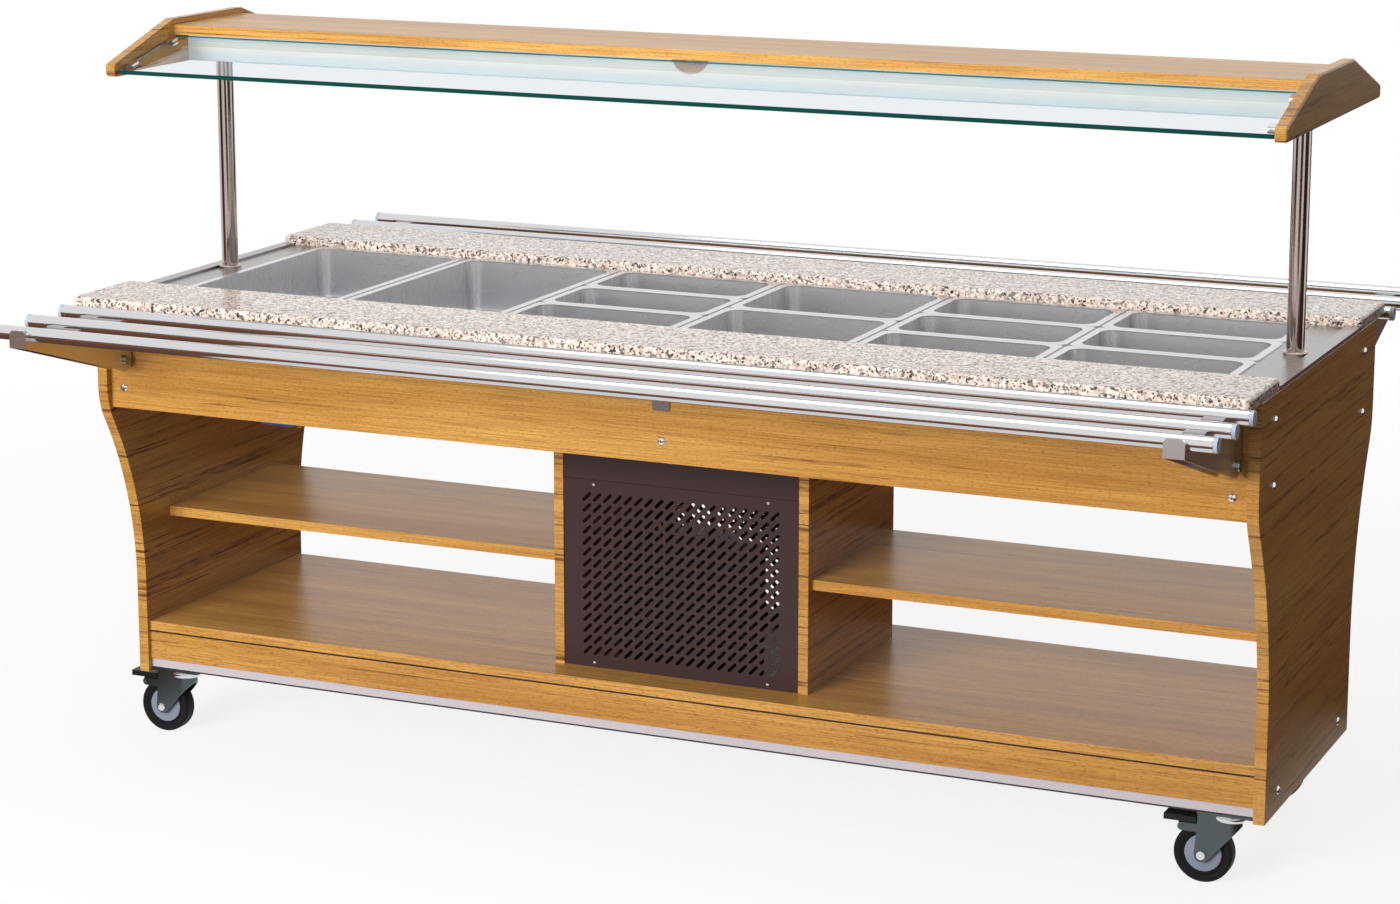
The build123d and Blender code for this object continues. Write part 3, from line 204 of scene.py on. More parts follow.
coatLooks = {  # common name, two tones, roughness, peel in mm, its depth in mm, band of another tone, shine
    "base_frame": ("satin grey base frame", "#B3ACB1", "#BAB3B8", 0.45, 3.0, 0.02,
                   (129.0, 133.0, "#2C2829")),  # pale strip with a dark band along its foot, from 129 to 133 mm
    "grey_plastic": ("grey cap plastic", "#A6ADBB", "#ADB4C1", 0.42, 1.4, 0.03),  # cool matt caps
    "brown_paint": ("brown powder coat", "#332424", "#392A29", 0.50, 1.3, 0.05, None, 0.35),  # fine peel
    "black_paint": ("black enamel", "#17181A", "#1D1E20", 0.32, 4.0, 0.04),  # glossy dark shell
    "black_plastic": ("black plastic", "#121214", "#18181A", 0.48, 1.2, 0.03, None, 0.3),  # matt black
    "dark_plastic": ("dark grey plastic", "#35373B", "#3C3E42", 0.50, 1.2, 0.03),  # matt dark grey
    "foam_jacket": ("foam jacket", "#C9C3AE", "#D3CDB8", 0.85, 5.0, 0.4),  # dull cream skin
    "blue_lever": ("blue vinyl sleeve", "#1F58A8", "#2560B2", 0.40, 2.0, 0.03),  # blue handle
    "tyre": ("black rubber", "#100F10", "#161415", 0.60, 2.5, 0.06, None, 0.2),  # soft dark tread
    "hub": ("grey hub plastic", "#767C8C", "#7E8494", 0.42, 2.0, 0.03),  # satin grey dish
}
peelLook = {"detail": 3.0, "bump": 0.25, "first": 0.35, "second": 0.65}


def coatMaterial(name, colour, second, roughness, peelMm, depthMm, band=None, shine=0.5):  # paint or plastic
    material, tree = startMaterial(name)
    place = addNode(tree, "ShaderNodeTexCoord").outputs["Object"]
    cells = addNode(tree, "ShaderNodeMapping", values={"Scale": perCell([peelMm] * 3)},
                    links={"Vector": place})
    peel = addNode(tree, "ShaderNodeTexNoise", values={"Scale": 1.0, "Detail": peelLook["detail"]},
                   links={"Vector": cells})
    tone = addNode(tree, "ShaderNodeValToRGB", links={"Fac": peel}, stops=[
        (peelLook["first"], colour), (peelLook["second"], second)]).outputs[0]
    if band:
        tone = paintBand(tree, place, tone, *band)
    bump = addNode(tree, "ShaderNodeBump", links={"Height": peel}, values={
        "Strength": peelLook["bump"], "Distance": depthMm * mm})
    shader = addNode(tree, "ShaderNodeBsdfPrincipled", links={"Base Color": tone, "Normal": bump}, values={
        "Roughness": roughness, "Specular IOR Level": shine})
    addNode(tree, "ShaderNodeOutputMaterial", links={"Surface": shader})
    return material


# Toughened glass: clear through the sheet, teal where the cut edges gather colour
glassLook = {"sheet": "#E8EEF3", "edge": "#0E4741", "edgeClear": 0.15, "flatFrom": 0.6, "roughness": 0.02,
             "ior": 1.25}  # below real glass, so that it mirrors as little as the photo shows


def glassMaterial(name):
    look = glassLook
    material, tree = startMaterial(name)
    normal = addNode(tree, "ShaderNodeTexCoord").outputs["Normal"]
    upward = addNode(tree, "ShaderNodeSeparateXYZ", links={0: normal}).outputs[2]
    tilt = addNode(tree, "ShaderNodeMath", {"operation": "ABSOLUTE"}, links={0: upward})
    flat = addNode(tree, "ShaderNodeMath", {"operation": "GREATER_THAN"}, {1: look["flatFrom"]}, {0: tilt})
    mix = addNode(tree, "ShaderNodeMix", {"data_type": "RGBA"}, links={0: flat}, values={
        6: look["edge"], 7: look["sheet"]})
    clear = addNode(tree, "ShaderNodeMapRange", values={"To Min": look["edgeClear"]}, links={"Value": flat})
    shader = addNode(tree, "ShaderNodeBsdfPrincipled", values={
        "Roughness": look["roughness"], "IOR": look["ior"]}, links={
        "Base Color": mix.outputs[2], "Transmission Weight": clear})
    addNode(tree, "ShaderNodeOutputMaterial", links={"Surface": shader})
    return material


# Opal acrylic: pale; the aqua glow in its upper half is painted light, filling the shade that the top board
# casts on it
opalLook = {"lowMm": 1245, "highMm": 1302, "glow": 0.5, "roughness": 0.25,
            # painted light: aqua glow over the shaded upper half
            "shadeFillGlow": [(0.30, "#000000"), (0.52, "#C6ECF4")],
            # skin: darker at the very bottom, aqua low down, a painted warm band of bounce light where the
            # shade begins, duller above where the glow adds light
            "skin": [(0.0, "#707A7C"), (0.04, "#98A8AB"), (0.36, "#AEAEA8"), (0.54, "#868A89")]}


def opalMaterial(name):
    look = opalLook
    material, tree = startMaterial(name)
    place = addNode(tree, "ShaderNodeTexCoord").outputs["Object"]
    height = addNode(tree, "ShaderNodeMapRange", values={
        "From Min": look["lowMm"] * mm, "From Max": look["highMm"] * mm}, links={
        "Value": addNode(tree, "ShaderNodeSeparateXYZ", links={0: place}).outputs[2]})
    skin = addNode(tree, "ShaderNodeValToRGB", links={"Fac": height}, stops=look["skin"])
    shadeFillGlow = addNode(tree, "ShaderNodeValToRGB", links={"Fac": height}, stops=look["shadeFillGlow"])
    shader = addNode(tree, "ShaderNodeBsdfPrincipled", values={
        "Roughness": look["roughness"], "Emission Strength": look["glow"]}, links={
        "Base Color": skin, "Emission Color": shadeFillGlow})
    addNode(tree, "ShaderNodeOutputMaterial", links={"Surface": shader})
    return material


materials = {slot: metalMaterial(*look) for slot, look in metalLooks.items()}
materials |= {slot: coatMaterial(*look) for slot, look in coatLooks.items()}
materials |= {
    "wood_board": woodMaterial("wood decor laminate, boards", False),
    "wood_panel": woodMaterial("wood decor laminate, panels", True),
    "granite": graniteMaterial("honed granite"),
    "glass": glassMaterial("toughened glass"),
    "opal": opalMaterial("opal acrylic"),
}
materials["wood_divider"] = materials["wood_panel"]
materials["wheel"] = materials["tyre"]

ownFinish = {"canopy_posts": "post", "switch_plate": "plate",  # nodes finished otherwise than their slot
             "front_tray_brackets": "bracket", "rear_tray_brackets": "bracket"}
for name, node in nodes.items():
    slotName = node.material_slots[0].material.name.split(".")[0]
    for slot in node.material_slots:
        slot.material = materials[ownFinish.get(name, slotName)]
nodes["sneeze_glasses"].visible_shadow = False  # lamps shine through the sheets
print("materials:", len(materials), "on", len(nodes), "nodes")

crispAngle = {"tree": 0.6, "mesh": math.radians(38)}  # edges sharper than this stay crisp, in radians


def placePiece(name, mesh):
    mesh.name = name
    piece = bpy.data.objects.new(name, mesh)
    scene.collection.objects.link(piece)
    return piece


def bakeTree(tree, name, points, facings, inputs):  # runs the tree on a point cloud, gives one plain object
    source = bpy.data.meshes.new(name + "Points")
    source.from_pydata(points, [], [])
    facing = source.attributes.new("facing", "FLOAT_VECTOR", "POINT")
    for item, vector in zip(facing.data, facings):
        item.vector = vector
    carrier = bpy.data.objects.new(name + "Carrier", source)
    scene.collection.objects.link(carrier)
    modifier = carrier.modifiers.new("build", "NODES")
    modifier.node_group = tree
    for socket in tree.interface.items_tree:
        if socket.in_out == "INPUT" and socket.name in inputs:
            modifier[socket.identifier] = inputs[socket.name]
    graph = bpy.context.evaluated_depsgraph_get()
    mesh = bpy.data.meshes.new_from_object(carrier.evaluated_get(graph))
    carrier.modifiers.remove(modifier)
    bpy.data.objects.remove(carrier)
    return placePiece(name, mesh)


def startTree(name, sizes):  # geometry tree with named size inputs
    tree = bpy.data.node_groups.new(name, "GeometryNodeTree")
    tree.interface.new_socket("Geometry", in_out="INPUT", socket_type="NodeSocketGeometry")
    for label, value in sizes.items():
        socket = tree.interface.new_socket(label, in_out="INPUT", socket_type="NodeSocketFloat")
        socket.default_value = value
    tree.interface.new_socket("Finish", in_out="INPUT", socket_type="NodeSocketMaterial")
    tree.interface.new_socket("Geometry", in_out="OUTPUT", socket_type="NodeSocketGeometry")
    return tree, addNode(tree, "NodeGroupInput").outputs


def endTree(tree, given, shape):  # puts the shape on each point, upright along its facing
    facing = addNode(tree, "GeometryNodeInputNamedAttribute", {"data_type": "FLOAT_VECTOR"},
                     {"Name": "facing"})
    turn = addNode(tree, "FunctionNodeAlignRotationToVector", {"axis": "Z"}, links={"Vector": facing})
    spread = addNode(tree, "GeometryNodeInstanceOnPoints", links={
        "Points": given["Geometry"], "Instance": shape, "Rotation": turn})
    real = addNode(tree, "GeometryNodeRealizeInstances", links={"Geometry": spread})
    smooth = addNode(tree, "GeometryNodeSetShadeSmooth", links={"Geometry": real})
    angle = addNode(tree, "GeometryNodeInputMeshEdgeAngle")
    sharp = addNode(tree, "FunctionNodeCompare", {"operation": "GREATER_THAN"}, {1: crispAngle["tree"]},
                    {0: angle})
    edges = addNode(tree, "GeometryNodeSetShadeSmooth", {"domain": "EDGE"}, {"Shade Smooth": False},
                    {"Geometry": smooth, "Selection": sharp})
    finish = addNode(tree, "GeometryNodeSetMaterial", links={"Geometry": edges, "Material": given["Finish"]})
    addNode(tree, "NodeGroupOutput", links={"Geometry": finish})
    return tree


# Domed screw with a cross recess, drawn once and set on every point
def screwTree():
    tree, given = startTree("domedScrew", {"Head Radius": 7 * mm, "Head Height": 3.5 * mm,
                                           "Recess Length": 6 * mm, "Recess Width": 1.3 * mm})
    ball = addNode(tree, "GeometryNodeMeshUVSphere", values={"Segments": 28, "Rings": 14},
                   links={"Radius": given["Head Radius"]})
    flat = addNode(tree, "ShaderNodeMath", {"operation": "DIVIDE"},
                   links={0: given["Head Height"], 1: given["Head Radius"]})
    squash = addNode(tree, "ShaderNodeCombineXYZ", values={0: 1.0, 1: 1.0}, links={2: flat})
    dome = addNode(tree, "GeometryNodeTransform", links={"Geometry": ball, "Scale": squash})
    side = addNode(tree, "ShaderNodeMath", {"operation": "MULTIPLY"}, {1: 3.0}, {0: given["Head Radius"]})
    drop = addNode(tree, "ShaderNodeMath", {"operation": "MULTIPLY"}, {1: -1.5}, {0: given["Head Radius"]})
    block = addNode(tree, "ShaderNodeCombineXYZ", links={0: side, 1: side, 2: side})
    below = addNode(tree, "ShaderNodeCombineXYZ", links={2: drop})
    cube = addNode(tree, "GeometryNodeMeshCube", links={"Size": block})
    cutters = [addNode(tree, "GeometryNodeTransform", links={"Geometry": cube, "Translation": below})]
    top = addNode(tree, "ShaderNodeCombineXYZ", links={2: given["Head Height"]})
    for first, second in (("Recess Length", "Recess Width"), ("Recess Width", "Recess Length")):
        size = addNode(tree, "ShaderNodeCombineXYZ", links={
            0: given[first], 1: given[second], 2: given["Head Height"]})
        bar = addNode(tree, "GeometryNodeMeshCube", links={"Size": size})
        cutters.append(addNode(tree, "GeometryNodeTransform", links={"Geometry": bar, "Translation": top}))
    cut = addNode(tree, "GeometryNodeMeshBoolean", {"operation": "DIFFERENCE"}, links={"Mesh 1": dome})
    for cutter in cutters:
        tree.links.new(cutter.outputs[0], cut.inputs["Mesh 2"])
    return endTree(tree, given, cut)


panelScrews = {"side": [(302, 803), (300, 695), (204, 163)], "sideX": 1075, "apronX": [-1028, 42, 1028],
               "apronZ": 688, "apronY": 370, "radius": 7.5, "height": 4.2, "recess": (6, 1.3)}
grilleScrews = {"x": 167, "z": [229, 555], "y": 203, "radius": 3.0, "height": 1.6, "recess": (2.8, 0.6)}

screws = screwTree()
points = []
facings = []
for sign in (-1, 1):
    for y, z in panelScrews["side"]:
        for flip in (-1, 1):
            points.append((sign * panelScrews["sideX"] * mm, flip * y * mm, z * mm))
            facings.append((sign, 0, 0))
    for x in panelScrews["apronX"]:
        points.append((-sign * x * mm, sign * panelScrews["apronY"] * mm, panelScrews["apronZ"] * mm))
        facings.append((0, sign, 0))
piece = bakeTree(screws, "panelScrewHeads", points, facings, {
    "Head Radius": panelScrews["radius"] * mm, "Head Height": panelScrews["height"] * mm,
    "Recess Length": panelScrews["recess"][0] * mm, "Recess Width": panelScrews["recess"][1] * mm,
    "Finish": materials["chrome"]})
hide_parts("panel_screws")
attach(piece, "cart")
print("board screws:", len(points))

points = [(x * grilleScrews["x"] * mm, y * grilleScrews["y"] * mm, z * mm)
          for x in (-1, 1) for y in (-1, 1) for z in grilleScrews["z"]]
facings = [(0, 1 if y > 0 else -1, 0) for x, y, z in points]
piece = bakeTree(screws, "grilleScrewHeads", points, facings, {
    "Head Radius": grilleScrews["radius"] * mm, "Head Height": grilleScrews["height"] * mm,
    "Recess Length": grilleScrews["recess"][0] * mm, "Recess Width": grilleScrews["recess"][1] * mm,
    "Finish": materials["chrome"]})
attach(piece, "cart")
print("grille screws:", len(points))


# Round tube, drawn once along Z and laid on every point
def tubeTree():
    tree, given = startTree("railTube", {"Tube Length": 2160 * mm, "Tube Radius": 12.5 * mm})
    half = addNode(tree, "ShaderNodeMath", {"operation": "MULTIPLY"}, {1: 0.5}, {0: given["Tube Length"]})
    back = addNode(tree, "ShaderNodeMath", {"operation": "MULTIPLY"}, {1: -0.5}, {0: given["Tube Length"]})
    first = addNode(tree, "ShaderNodeCombineXYZ", links={2: back})
    last = addNode(tree, "ShaderNodeCombineXYZ", links={2: half})
    line = addNode(tree, "GeometryNodeCurvePrimitiveLine", links={"Start": first, "End": last})
    ring = addNode(tree, "GeometryNodeCurvePrimitiveCircle", values={"Resolution": 48},
                   links={"Radius": given["Tube Radius"]})
    tube = addNode(tree, "GeometryNodeCurveToMesh", values={"Fill Caps": True},
                   links={"Curve": line, "Profile Curve": ring})
    return endTree(tree, given, tube)


# Short plug with a flat face and a rounded rim: a ball held inside a radius and a length
def plugTree():
    tree, given = startTree("roundedPlug", {"Plug Radius": 12.5 * mm, "Plug Length": 7 * mm,
                                            "Ball Over Plug": 1.35})
    ball = addNode(tree, "GeometryNodeMeshUVSphere", values={"Segments": 40, "Rings": 28, "Radius": 1.0})
    position = addNode(tree, "GeometryNodeInputPosition")
    x, y, z = addNode(tree, "ShaderNodeSeparateXYZ", links={0: position}).outputs
    flat = addNode(tree, "ShaderNodeCombineXYZ", links={0: x, 1: y})
    out = addNode(tree, "ShaderNodeVectorMath", {"operation": "LENGTH"}, links={0: flat}).outputs["Value"]
    away = addNode(tree, "ShaderNodeMath", {"operation": "MAXIMUM"}, {1: 0.0001}, {0: out})  # never 0
    wide = addNode(tree, "ShaderNodeMath", {"operation": "MULTIPLY"},
                   links={0: away, 1: given["Ball Over Plug"]})
    held = addNode(tree, "ShaderNodeMath", {"operation": "MINIMUM"}, {1: 1.0}, {0: wide})
    share = addNode(tree, "ShaderNodeMath", {"operation": "DIVIDE"}, links={0: held, 1: away})
    grow = addNode(tree, "ShaderNodeMath", {"operation": "MULTIPLY"},
                   links={0: share, 1: given["Plug Radius"]})
    tall = addNode(tree, "ShaderNodeMath", {"operation": "MULTIPLY"},
                   links={0: z, 1: given["Ball Over Plug"]})
    under = addNode(tree, "ShaderNodeMath", {"operation": "MINIMUM"}, {1: 1.0}, {0: tall})
    rise = addNode(tree, "ShaderNodeMath", {"operation": "MAXIMUM"}, {1: -1.0}, {0: under})
    half = addNode(tree, "ShaderNodeMath", {"operation": "MULTIPLY"}, {1: 0.5}, {0: given["Plug Length"]})
    spots = {}
    for at, (part, reach) in enumerate(((x, grow), (y, grow), (rise, half))):
        spots[at] = addNode(tree, "ShaderNodeMath", {"operation": "MULTIPLY"}, links={0: part, 1: reach})
    spot = addNode(tree, "ShaderNodeCombineXYZ", links=spots)
    plug = addNode(tree, "GeometryNodeSetPosition", links={"Geometry": ball, "Position": spot})
    return endTree(tree, given, plug)


railLook = {"ys": [472, 573, 674], "z": 841, "half": 1080, "radius": 12.5, "cap": 7}
tubes = tubeTree()
plugs = plugTree()
for row, sign in (("front", -1), ("rear", 1)):
    points = [(0, sign * y * mm, railLook["z"] * mm) for y in railLook["ys"]]
    piece = bakeTree(tubes, row + "_tray_tubes", points, [(1, 0, 0)] * len(points), {
        "Tube Length": 2 * railLook["half"] * mm, "Tube Radius": railLook["radius"] * mm,
        "Finish": materials["stainless_tube"]})
    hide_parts(row + "_tray_rails")
    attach(piece, row + "_tray")
    ends = [(x * (railLook["half"] + railLook["cap"] / 2) * mm, sign * y * mm, railLook["z"] * mm)
            for x in (-1, 1) for y in railLook["ys"]]
    piece = bakeTree(plugs, row + "_tray_caps", ends, [(1, 0, 0)] * len(ends), {
        "Plug Radius": railLook["radius"] * mm, "Plug Length": railLook["cap"] * mm,
        "Finish": materials["grey_plastic"]})
    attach(piece, row + "_tray")
    print(row, "tray:", len(points), "tubes,", len(ends), "end caps")


def latheInto(shape, section, centre, axis, segments=64):  # turns a closed (radius, along) mm section
    along = Vector([axis == letter for letter in "XYZ"])
    outward = Vector((0, 0, 1)) if axis == "X" else Vector((1, 0, 0))
    rings = []
    for step in range(segments):
        spoke = Matrix.Rotation(2 * math.pi * step / segments, 3, axis) @ outward
        rings.append([shape.verts.new((Vector(centre) + spoke * r + along * a) * mm) for r, a in section])
    for step in range(segments):
        here = rings[step]
        there = rings[(step + 1) % segments]
        for at in range(len(section)):
            after = (at + 1) % len(section)
            shape.faces.new((here[at], here[after], there[after], there[at]))


def finishShape(name, shape, finish):  # outward faces, smooth with crisp edges, one plain object
    bmesh.ops.recalc_face_normals(shape, faces=shape.faces)
    mesh = bpy.data.meshes.new(name)
    shape.to_mesh(mesh)
    shape.free()
    mesh.shade_smooth()
    mesh.set_sharp_from_angle(angle=crispAngle["mesh"])
    mesh.materials.append(finish)
    return placePiece(name, mesh)


def plateInto(shape, outline, low, high, centre, axis):  # closed mm outline made into a plate across Y or Z
    def spot(u, v, deep):
        return (Vector(centre) + Vector((u, deep, v) if axis == "Y" else (u, v, deep))) * mm

    near = [shape.verts.new(spot(u, v, low)) for u, v in outline]
    far = [shape.verts.new(spot(u, v, high)) for u, v in outline]
    shape.faces.new(near)
    shape.faces.new(far)
    for at in range(len(outline)):
        after = (at + 1) % len(outline)
        shape.faces.new((near[at], near[after], far[after], far[at]))


def arcPoints(centre, radius, first, last, steps):  # points on an arc, angles in degrees
    turns = [math.radians(first + (last - first) * step / steps) for step in range(steps + 1)]
    return [(centre[0] + radius * math.cos(turn), centre[1] + radius * math.sin(turn)) for turn in turns]


# Folded sheet edge behind each header joint, so that the joint reads as a dark line
foldLook = {"half": 224, "low": 559, "high": 569, "cut": 4, "near": 200.2, "far": 200.9}
half, low, high, cut = [foldLook[key] for key in ("half", "low", "high", "cut")]
outline = [(cut - half, low), (half - cut, low), (half, low + cut), (half, high), (-half, high),
           (-half, low + cut)]
folds = bmesh.new()
for sign in (-1, 1):
    plateInto(folds, outline, sign * foldLook["near"], sign * foldLook["far"], (0, 0, 0), "Y")
piece = finishShape("headerFolds", folds, materials["brown_paint"])
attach(piece, "cart")
print("header folds: front and rear")

# Pressed fork: two legs joined by a bell in front of the kingpin, a crown plate, ears for the brake pin
forkLook = {"inner": 17.5, "sheet": 3.0, "top": 119.7, "crown": 4.0, "back": -50, "eye": 13, "eyeFrom": 176,
            "slope": 48.5, "ear": (-77, 95), "earRadius": 7, "pinRadius": 3.2, "pinTip": 0.4, "pinOut": 1.0,
            "arcSteps": 20, "earSteps": 10, "bellStep": 6}


def forkPiece(name, king, axle, braked):
    look = forkLook
    inner = look["inner"]
    outer = inner + look["sheet"]
    top = look["top"]
    back = look["back"]
    tilt = math.tan(math.radians(look["slope"]))
    shape = bmesh.new()
    leg = arcPoints(axle, look["eye"], look["eyeFrom"], 270 + look["slope"], look["arcSteps"])
    foot = leg[-1][1] - leg[-1][0] * tilt  # height of the sloping front edge at the kingpin
    leg += [(0, foot), (0, top), (back, top)]
    if braked:
        earX, earZ = look["ear"]
        leg += [(back - 1, earZ + look["earRadius"])]
        leg += arcPoints(look["ear"], look["earRadius"], 90, 270, look["earSteps"])
        leg += [(back - 2, earZ - look["earRadius"])]
        end = outer + look["pinOut"]
        pin = [(look["pinTip"], -outer), (look["pinRadius"], -end), (look["pinRadius"], end),
               (look["pinTip"], outer)]
        latheInto(shape, pin, (king[0] + earX, king[1], earZ), "Y", look["arcSteps"])
    for low in (-outer, inner):
        plateInto(shape, leg, low, low + look["sheet"], king, "Y")
    crown = [(back, -inner)] + arcPoints((0, 0), inner, -90, 90, look["arcSteps"]) + [(back, inner)]
    plateInto(shape, crown, top - look["crown"], top, king, "Z")
    rings = []
    for turn in range(-90, 91, look["bellStep"]):
        x = math.cos(math.radians(turn))
        y = math.sin(math.radians(turn))
        edge = [(inner, foot + inner * x * tilt), (outer, foot + outer * x * tilt),
                (outer, top), (inner, top)]
        rings.append([shape.verts.new((Vector(king) + Vector((r * x, r * y, z))) * mm) for r, z in edge])
    for here, there in zip(rings, rings[1:]):
        for at in range(4):
            shape.faces.new((here[at], here[(at + 1) % 4], there[(at + 1) % 4], there[at]))
    shape.faces.new(rings[0])
    shape.faces.new(rings[-1])
    return finishShape(name, shape, materials["zinc"])


wheelLook = {"kingpin": (1005, 230), "trail": -42, "axleZ": 50,
             "boltOut": 20.5, "boltRadius": 7.5, "boltLength": 11.4,
             "tyre": [(31.6, 10.6), (32.4, 11.8), (33.6, 12.0), (34.4, 10.9), (36.2, 10.9), (37.6, 12.8),
                      (39.4, 13.6), (42.6, 14.2), (45.6, 14.6), (48.2, 13.4), (49.6, 11.2), (49.98, 8.5),
                      (49.98, 0)],  # (radius, along) half sections
             "hub": [(5.2, 17.2), (11.4, 17.2), (12.2, 16.4), (13.2, 12.6), (14.6, 11.6), (29.0, 11.2),
                     (31.0, 11.0), (31.5, 10.6)]}
raceLook = [[(26.2, 120.2), (28.2, 120.2), (29.2, 121.2), (29.2, 123.4), (27.8, 125.6), (26.2, 125.8)],
            [(20.6, 109.0), (24.5, 110.0), (27.5, 113.0), (28.6, 116.5), (27.8, 119.6), (20.6, 119.6)]]
races = bmesh.new()
for row in ("front", "rear"):
    for side in ("left", "right"):
        corner = row + "_" + side
        kingX = wheelLook["kingpin"][0] * (1 if side == "right" else -1)
        kingY = wheelLook["kingpin"][1] * (1 if row == "rear" else -1)
        for section in raceLook:
            latheInto(races, section, (kingX, kingY, 0), "Z")
        centre = (kingX + wheelLook["trail"], kingY, wheelLook["axleZ"])
        for part in ("tyre", "hub"):
            half = wheelLook[part]
            shape = bmesh.new()
            latheInto(shape, half + [(r, -a) for r, a in reversed(half) if a > 0], centre, "Y")
            piece = finishShape(corner + "_" + part, shape, materials[part])
            if part == "tyre":
                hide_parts(corner + "_wheel")
            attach(piece, corner + "_wheel")
        axle = (wheelLook["trail"], wheelLook["axleZ"])
        piece = forkPiece(corner + "_legs", (kingX, kingY, 0), axle, row == "front")
        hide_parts(corner + "_fork")
        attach(piece, corner + "_caster")
        ends = [(centre[0] * mm, (kingY + turn * wheelLook["boltOut"]) * mm, centre[2] * mm)
                for turn in (-1, 1)]
        piece = bakeTree(plugs, corner + "_axleBolts", ends, [(0, -1, 0), (0, 1, 0)], {
            "Plug Radius": wheelLook["boltRadius"] * mm, "Plug Length": wheelLook["boltLength"] * mm,
            "Finish": materials["chrome"]})
        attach(piece, corner + "_caster")
piece = finishShape("swivelRaces", races, materials["chrome"])
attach(piece, "cart")
print("casters: forks, tyres, hubs, axle bolts and swivel races")

# Soft studio light: a key from the front left, a weaker top and a weaker back
lampLook = {
    "keySoftbox": {"watts": 575, "place": (-1.6, -6.4, 2.4), "aim": (0.1, 0, 0.6), "size": (3.4, 2.4)},
    "topSoftbox": {"watts": 76, "place": (0, -0.4, 4.6), "aim": (0, 0, 0.8), "size": (4.0, 3.0)},
    "backSoftbox": {"watts": 90, "place": (0.4, 6.4, 2.0), "aim": (0, 0, 0.6), "size": (3.4, 2.4)},
}
for name, look in lampLook.items():
    lamp = bpy.data.lights.new(name, "AREA")
    lamp.shape = "RECTANGLE"
    lamp.size, lamp.size_y = look["size"]
    lamp.energy = look["watts"]
    holder = bpy.data.objects.new(name, lamp)
    holder.location = look["place"]
    aim = Vector(look["aim"]) - Vector(look["place"])
    holder.rotation_euler = aim.to_track_quat("-Z", "Y").to_euler()
    holder.visible_glossy = name == "topSoftbox"  # the other two would glare on the metal
    scene.collection.objects.link(holder)


def seenRays(tree):  # 1 for what the camera, a reflection or clear glass sees
    rays = addNode(tree, "ShaderNodeLightPath").outputs
    seen = addNode(tree, "ShaderNodeMath", {"operation": "MAXIMUM"},
                   links={0: rays["Is Camera Ray"], 1: rays["Is Glossy Ray"]})
    return addNode(tree, "ShaderNodeMath", {"operation": "MAXIMUM"},
                   links={0: seen, 1: rays["Is Transmission Ray"]})


worldLook = {"ambient": 0.20, "white": 1.0}
world = bpy.data.worlds.new("studio")
scene.world = world
world.use_nodes = True
tree = world.node_tree
tree.nodes.clear()
ambient, white = [addNode(tree, "ShaderNodeBackground", values={
    "Color": (1, 1, 1, 1), "Strength": worldLook[key]}) for key in ("ambient", "white")]
mix = addNode(tree, "ShaderNodeMixShader", links={0: seenRays(tree), 1: ambient, 2: white})
addNode(tree, "ShaderNodeOutputWorld", links={"Surface": mix})

# White paper floor: keeps the shadow near the cart and fades into the white background further out
floorLook = {"reach": 60, "dropMm": 0.5, "paper": "#F4F3F2", "bounce": "#8F8C88",
             "fadeFrom": 1.5, "fadeTo": 4.0, "nearShare": 0.84}
reach = floorLook["reach"]
spots = ((-reach, -reach), (reach, -reach), (reach, reach), (-reach, reach))
floorMesh = bpy.data.meshes.new("floor")
floorMesh.from_pydata([(x, y, -floorLook["dropMm"] * mm) for x, y in spots], [], [(0, 1, 2, 3)])
floor = placePiece("floor", floorMesh)
material, tree = startMaterial("white paper floor")
place = addNode(tree, "ShaderNodeTexCoord").outputs["Object"]
away = addNode(tree, "ShaderNodeVectorMath", {"operation": "LENGTH"}, links={0: place}).outputs["Value"]
fade = addNode(tree, "ShaderNodeMapRange", links={"Value": away}, values={
    "From Min": floorLook["fadeFrom"], "From Max": floorLook["fadeTo"],
    "To Min": floorLook["nearShare"], "To Max": 1.0})
share = addNode(tree, "ShaderNodeMath", {"operation": "MULTIPLY"}, links={0: fade, 1: seenRays(tree)})
direct = addNode(tree, "ShaderNodeLightPath").outputs["Is Camera Ray"]
tone = addNode(tree, "ShaderNodeMix", {"data_type": "RGBA"},
               {6: floorLook["bounce"], 7: floorLook["paper"]}, {0: direct})
paper = addNode(tree, "ShaderNodeBsdfDiffuse", links={"Color": tone.outputs[2]})
glow = addNode(tree, "ShaderNodeEmission", values={"Color": (1, 1, 1, 1), "Strength": 1.0})
shader = addNode(tree, "ShaderNodeMixShader", links={0: share, 1: paper, 2: glow})
addNode(tree, "ShaderNodeOutputMaterial", links={"Surface": shader})
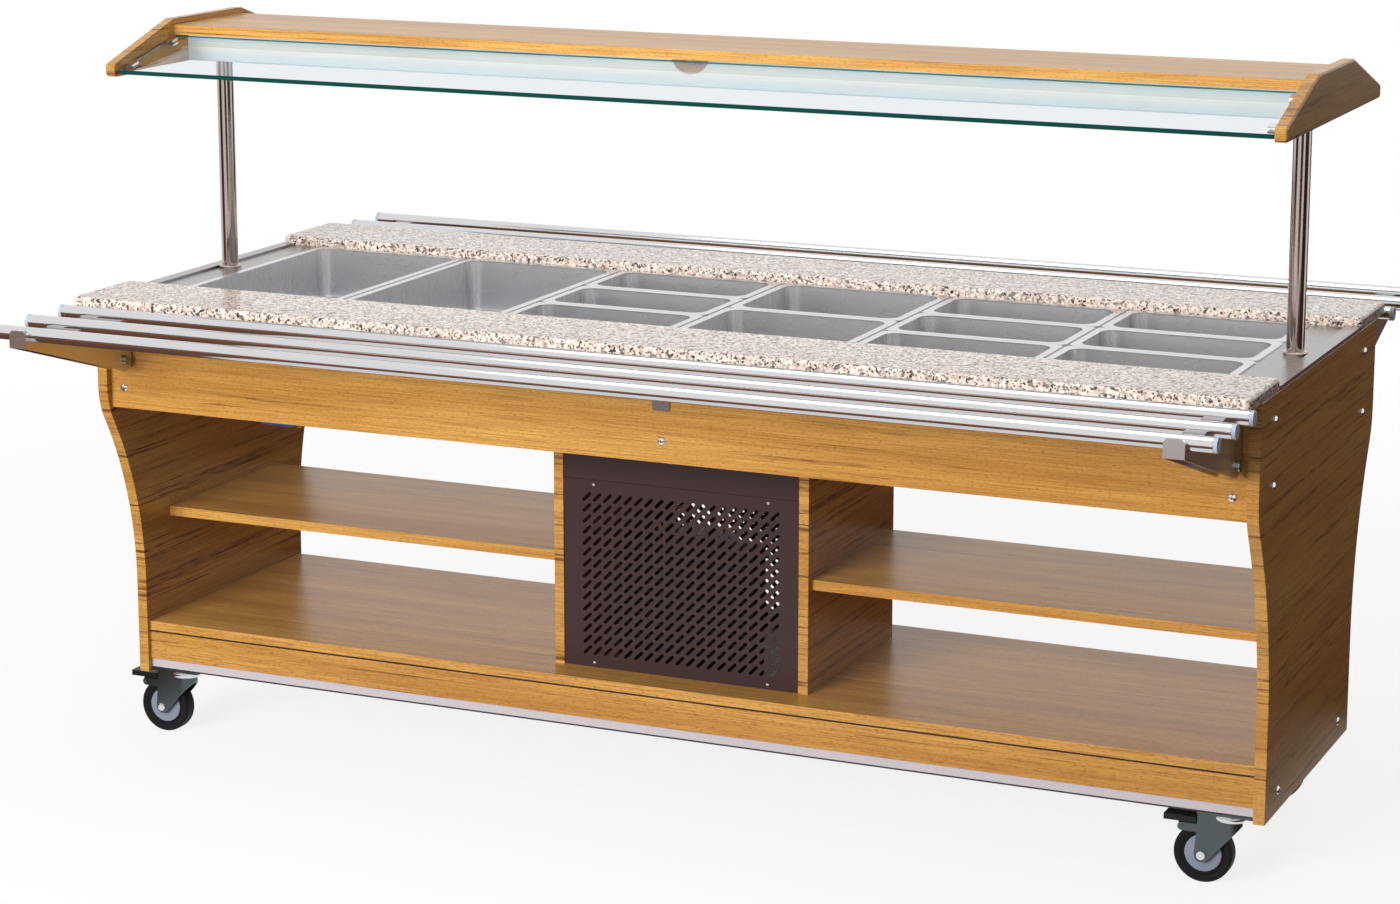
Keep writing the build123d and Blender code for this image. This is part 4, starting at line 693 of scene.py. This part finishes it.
floor.data.materials.append(material)

# Dark studio cards on the floor, seen only in reflections: polished metal gets its dark bands from them
cardLook = {"colour": "#6A4A3C", "dropMm": 0.2,
            "sheets": [(-5.0, 5.0, -4.3, -1.4), (-5.0, 5.0, 0.74, 5.0),  # front and back, in metres
                       (-5.0, -1.16, -1.4, 0.74), (1.16, 5.0, -1.4, 0.74)],  # left and right
            "wedges": [(-160, -122, 4.6), (-84, -56, 6.0), (-34, 10, 4.6), (44, 82, 4.6), (104, 150, 4.6)],
            "far": 16}
corners = []
for left, right, near, deep in cardLook["sheets"]:
    corners += [(left, near), (right, near), (right, deep), (left, deep)]
for first, last, near in cardLook["wedges"]:  # two turns in degrees and the near radius
    for radius, turn in ((near, first), (cardLook["far"], first), (cardLook["far"], last), (near, last)):
        corners.append((radius * math.cos(math.radians(turn)), radius * math.sin(math.radians(turn))))
quads = [range(at, at + 4) for at in range(0, len(corners), 4)]
cardMesh = bpy.data.meshes.new("cards")
cardMesh.from_pydata([(x, y, -cardLook["dropMm"] * mm) for x, y in corners], [], quads)
cards = placePiece("cards", cardMesh)
material, tree = startMaterial("dark studio card")
shader = addNode(tree, "ShaderNodeBsdfDiffuse", values={"Color": cardLook["colour"]})
addNode(tree, "ShaderNodeOutputMaterial", links={"Surface": shader})
cards.data.materials.append(material)
cards.visible_camera = cards.visible_diffuse = cards.visible_transmission = cards.visible_shadow = False

cameraLook = {"place": (2.38388, -5.45829, 1.96447), "dip": 11.48, "turn": 24.05,
              "sensor": 36, "lens": 87.644, "shift": -0.0657}
camera = bpy.data.objects.new("camera", bpy.data.cameras.new("camera"))
camera.location = cameraLook["place"]
camera.rotation_euler = (math.radians(90 - cameraLook["dip"]), 0, math.radians(cameraLook["turn"]))
camera.data.sensor_width = cameraLook["sensor"]
camera.data.lens = cameraLook["lens"]
camera.data.shift_y = cameraLook["shift"]
scene.collection.objects.link(camera)
scene.camera = camera
scene.view_settings.view_transform = "Standard"
print("studio: three softboxes, white world, floor, cards and camera")
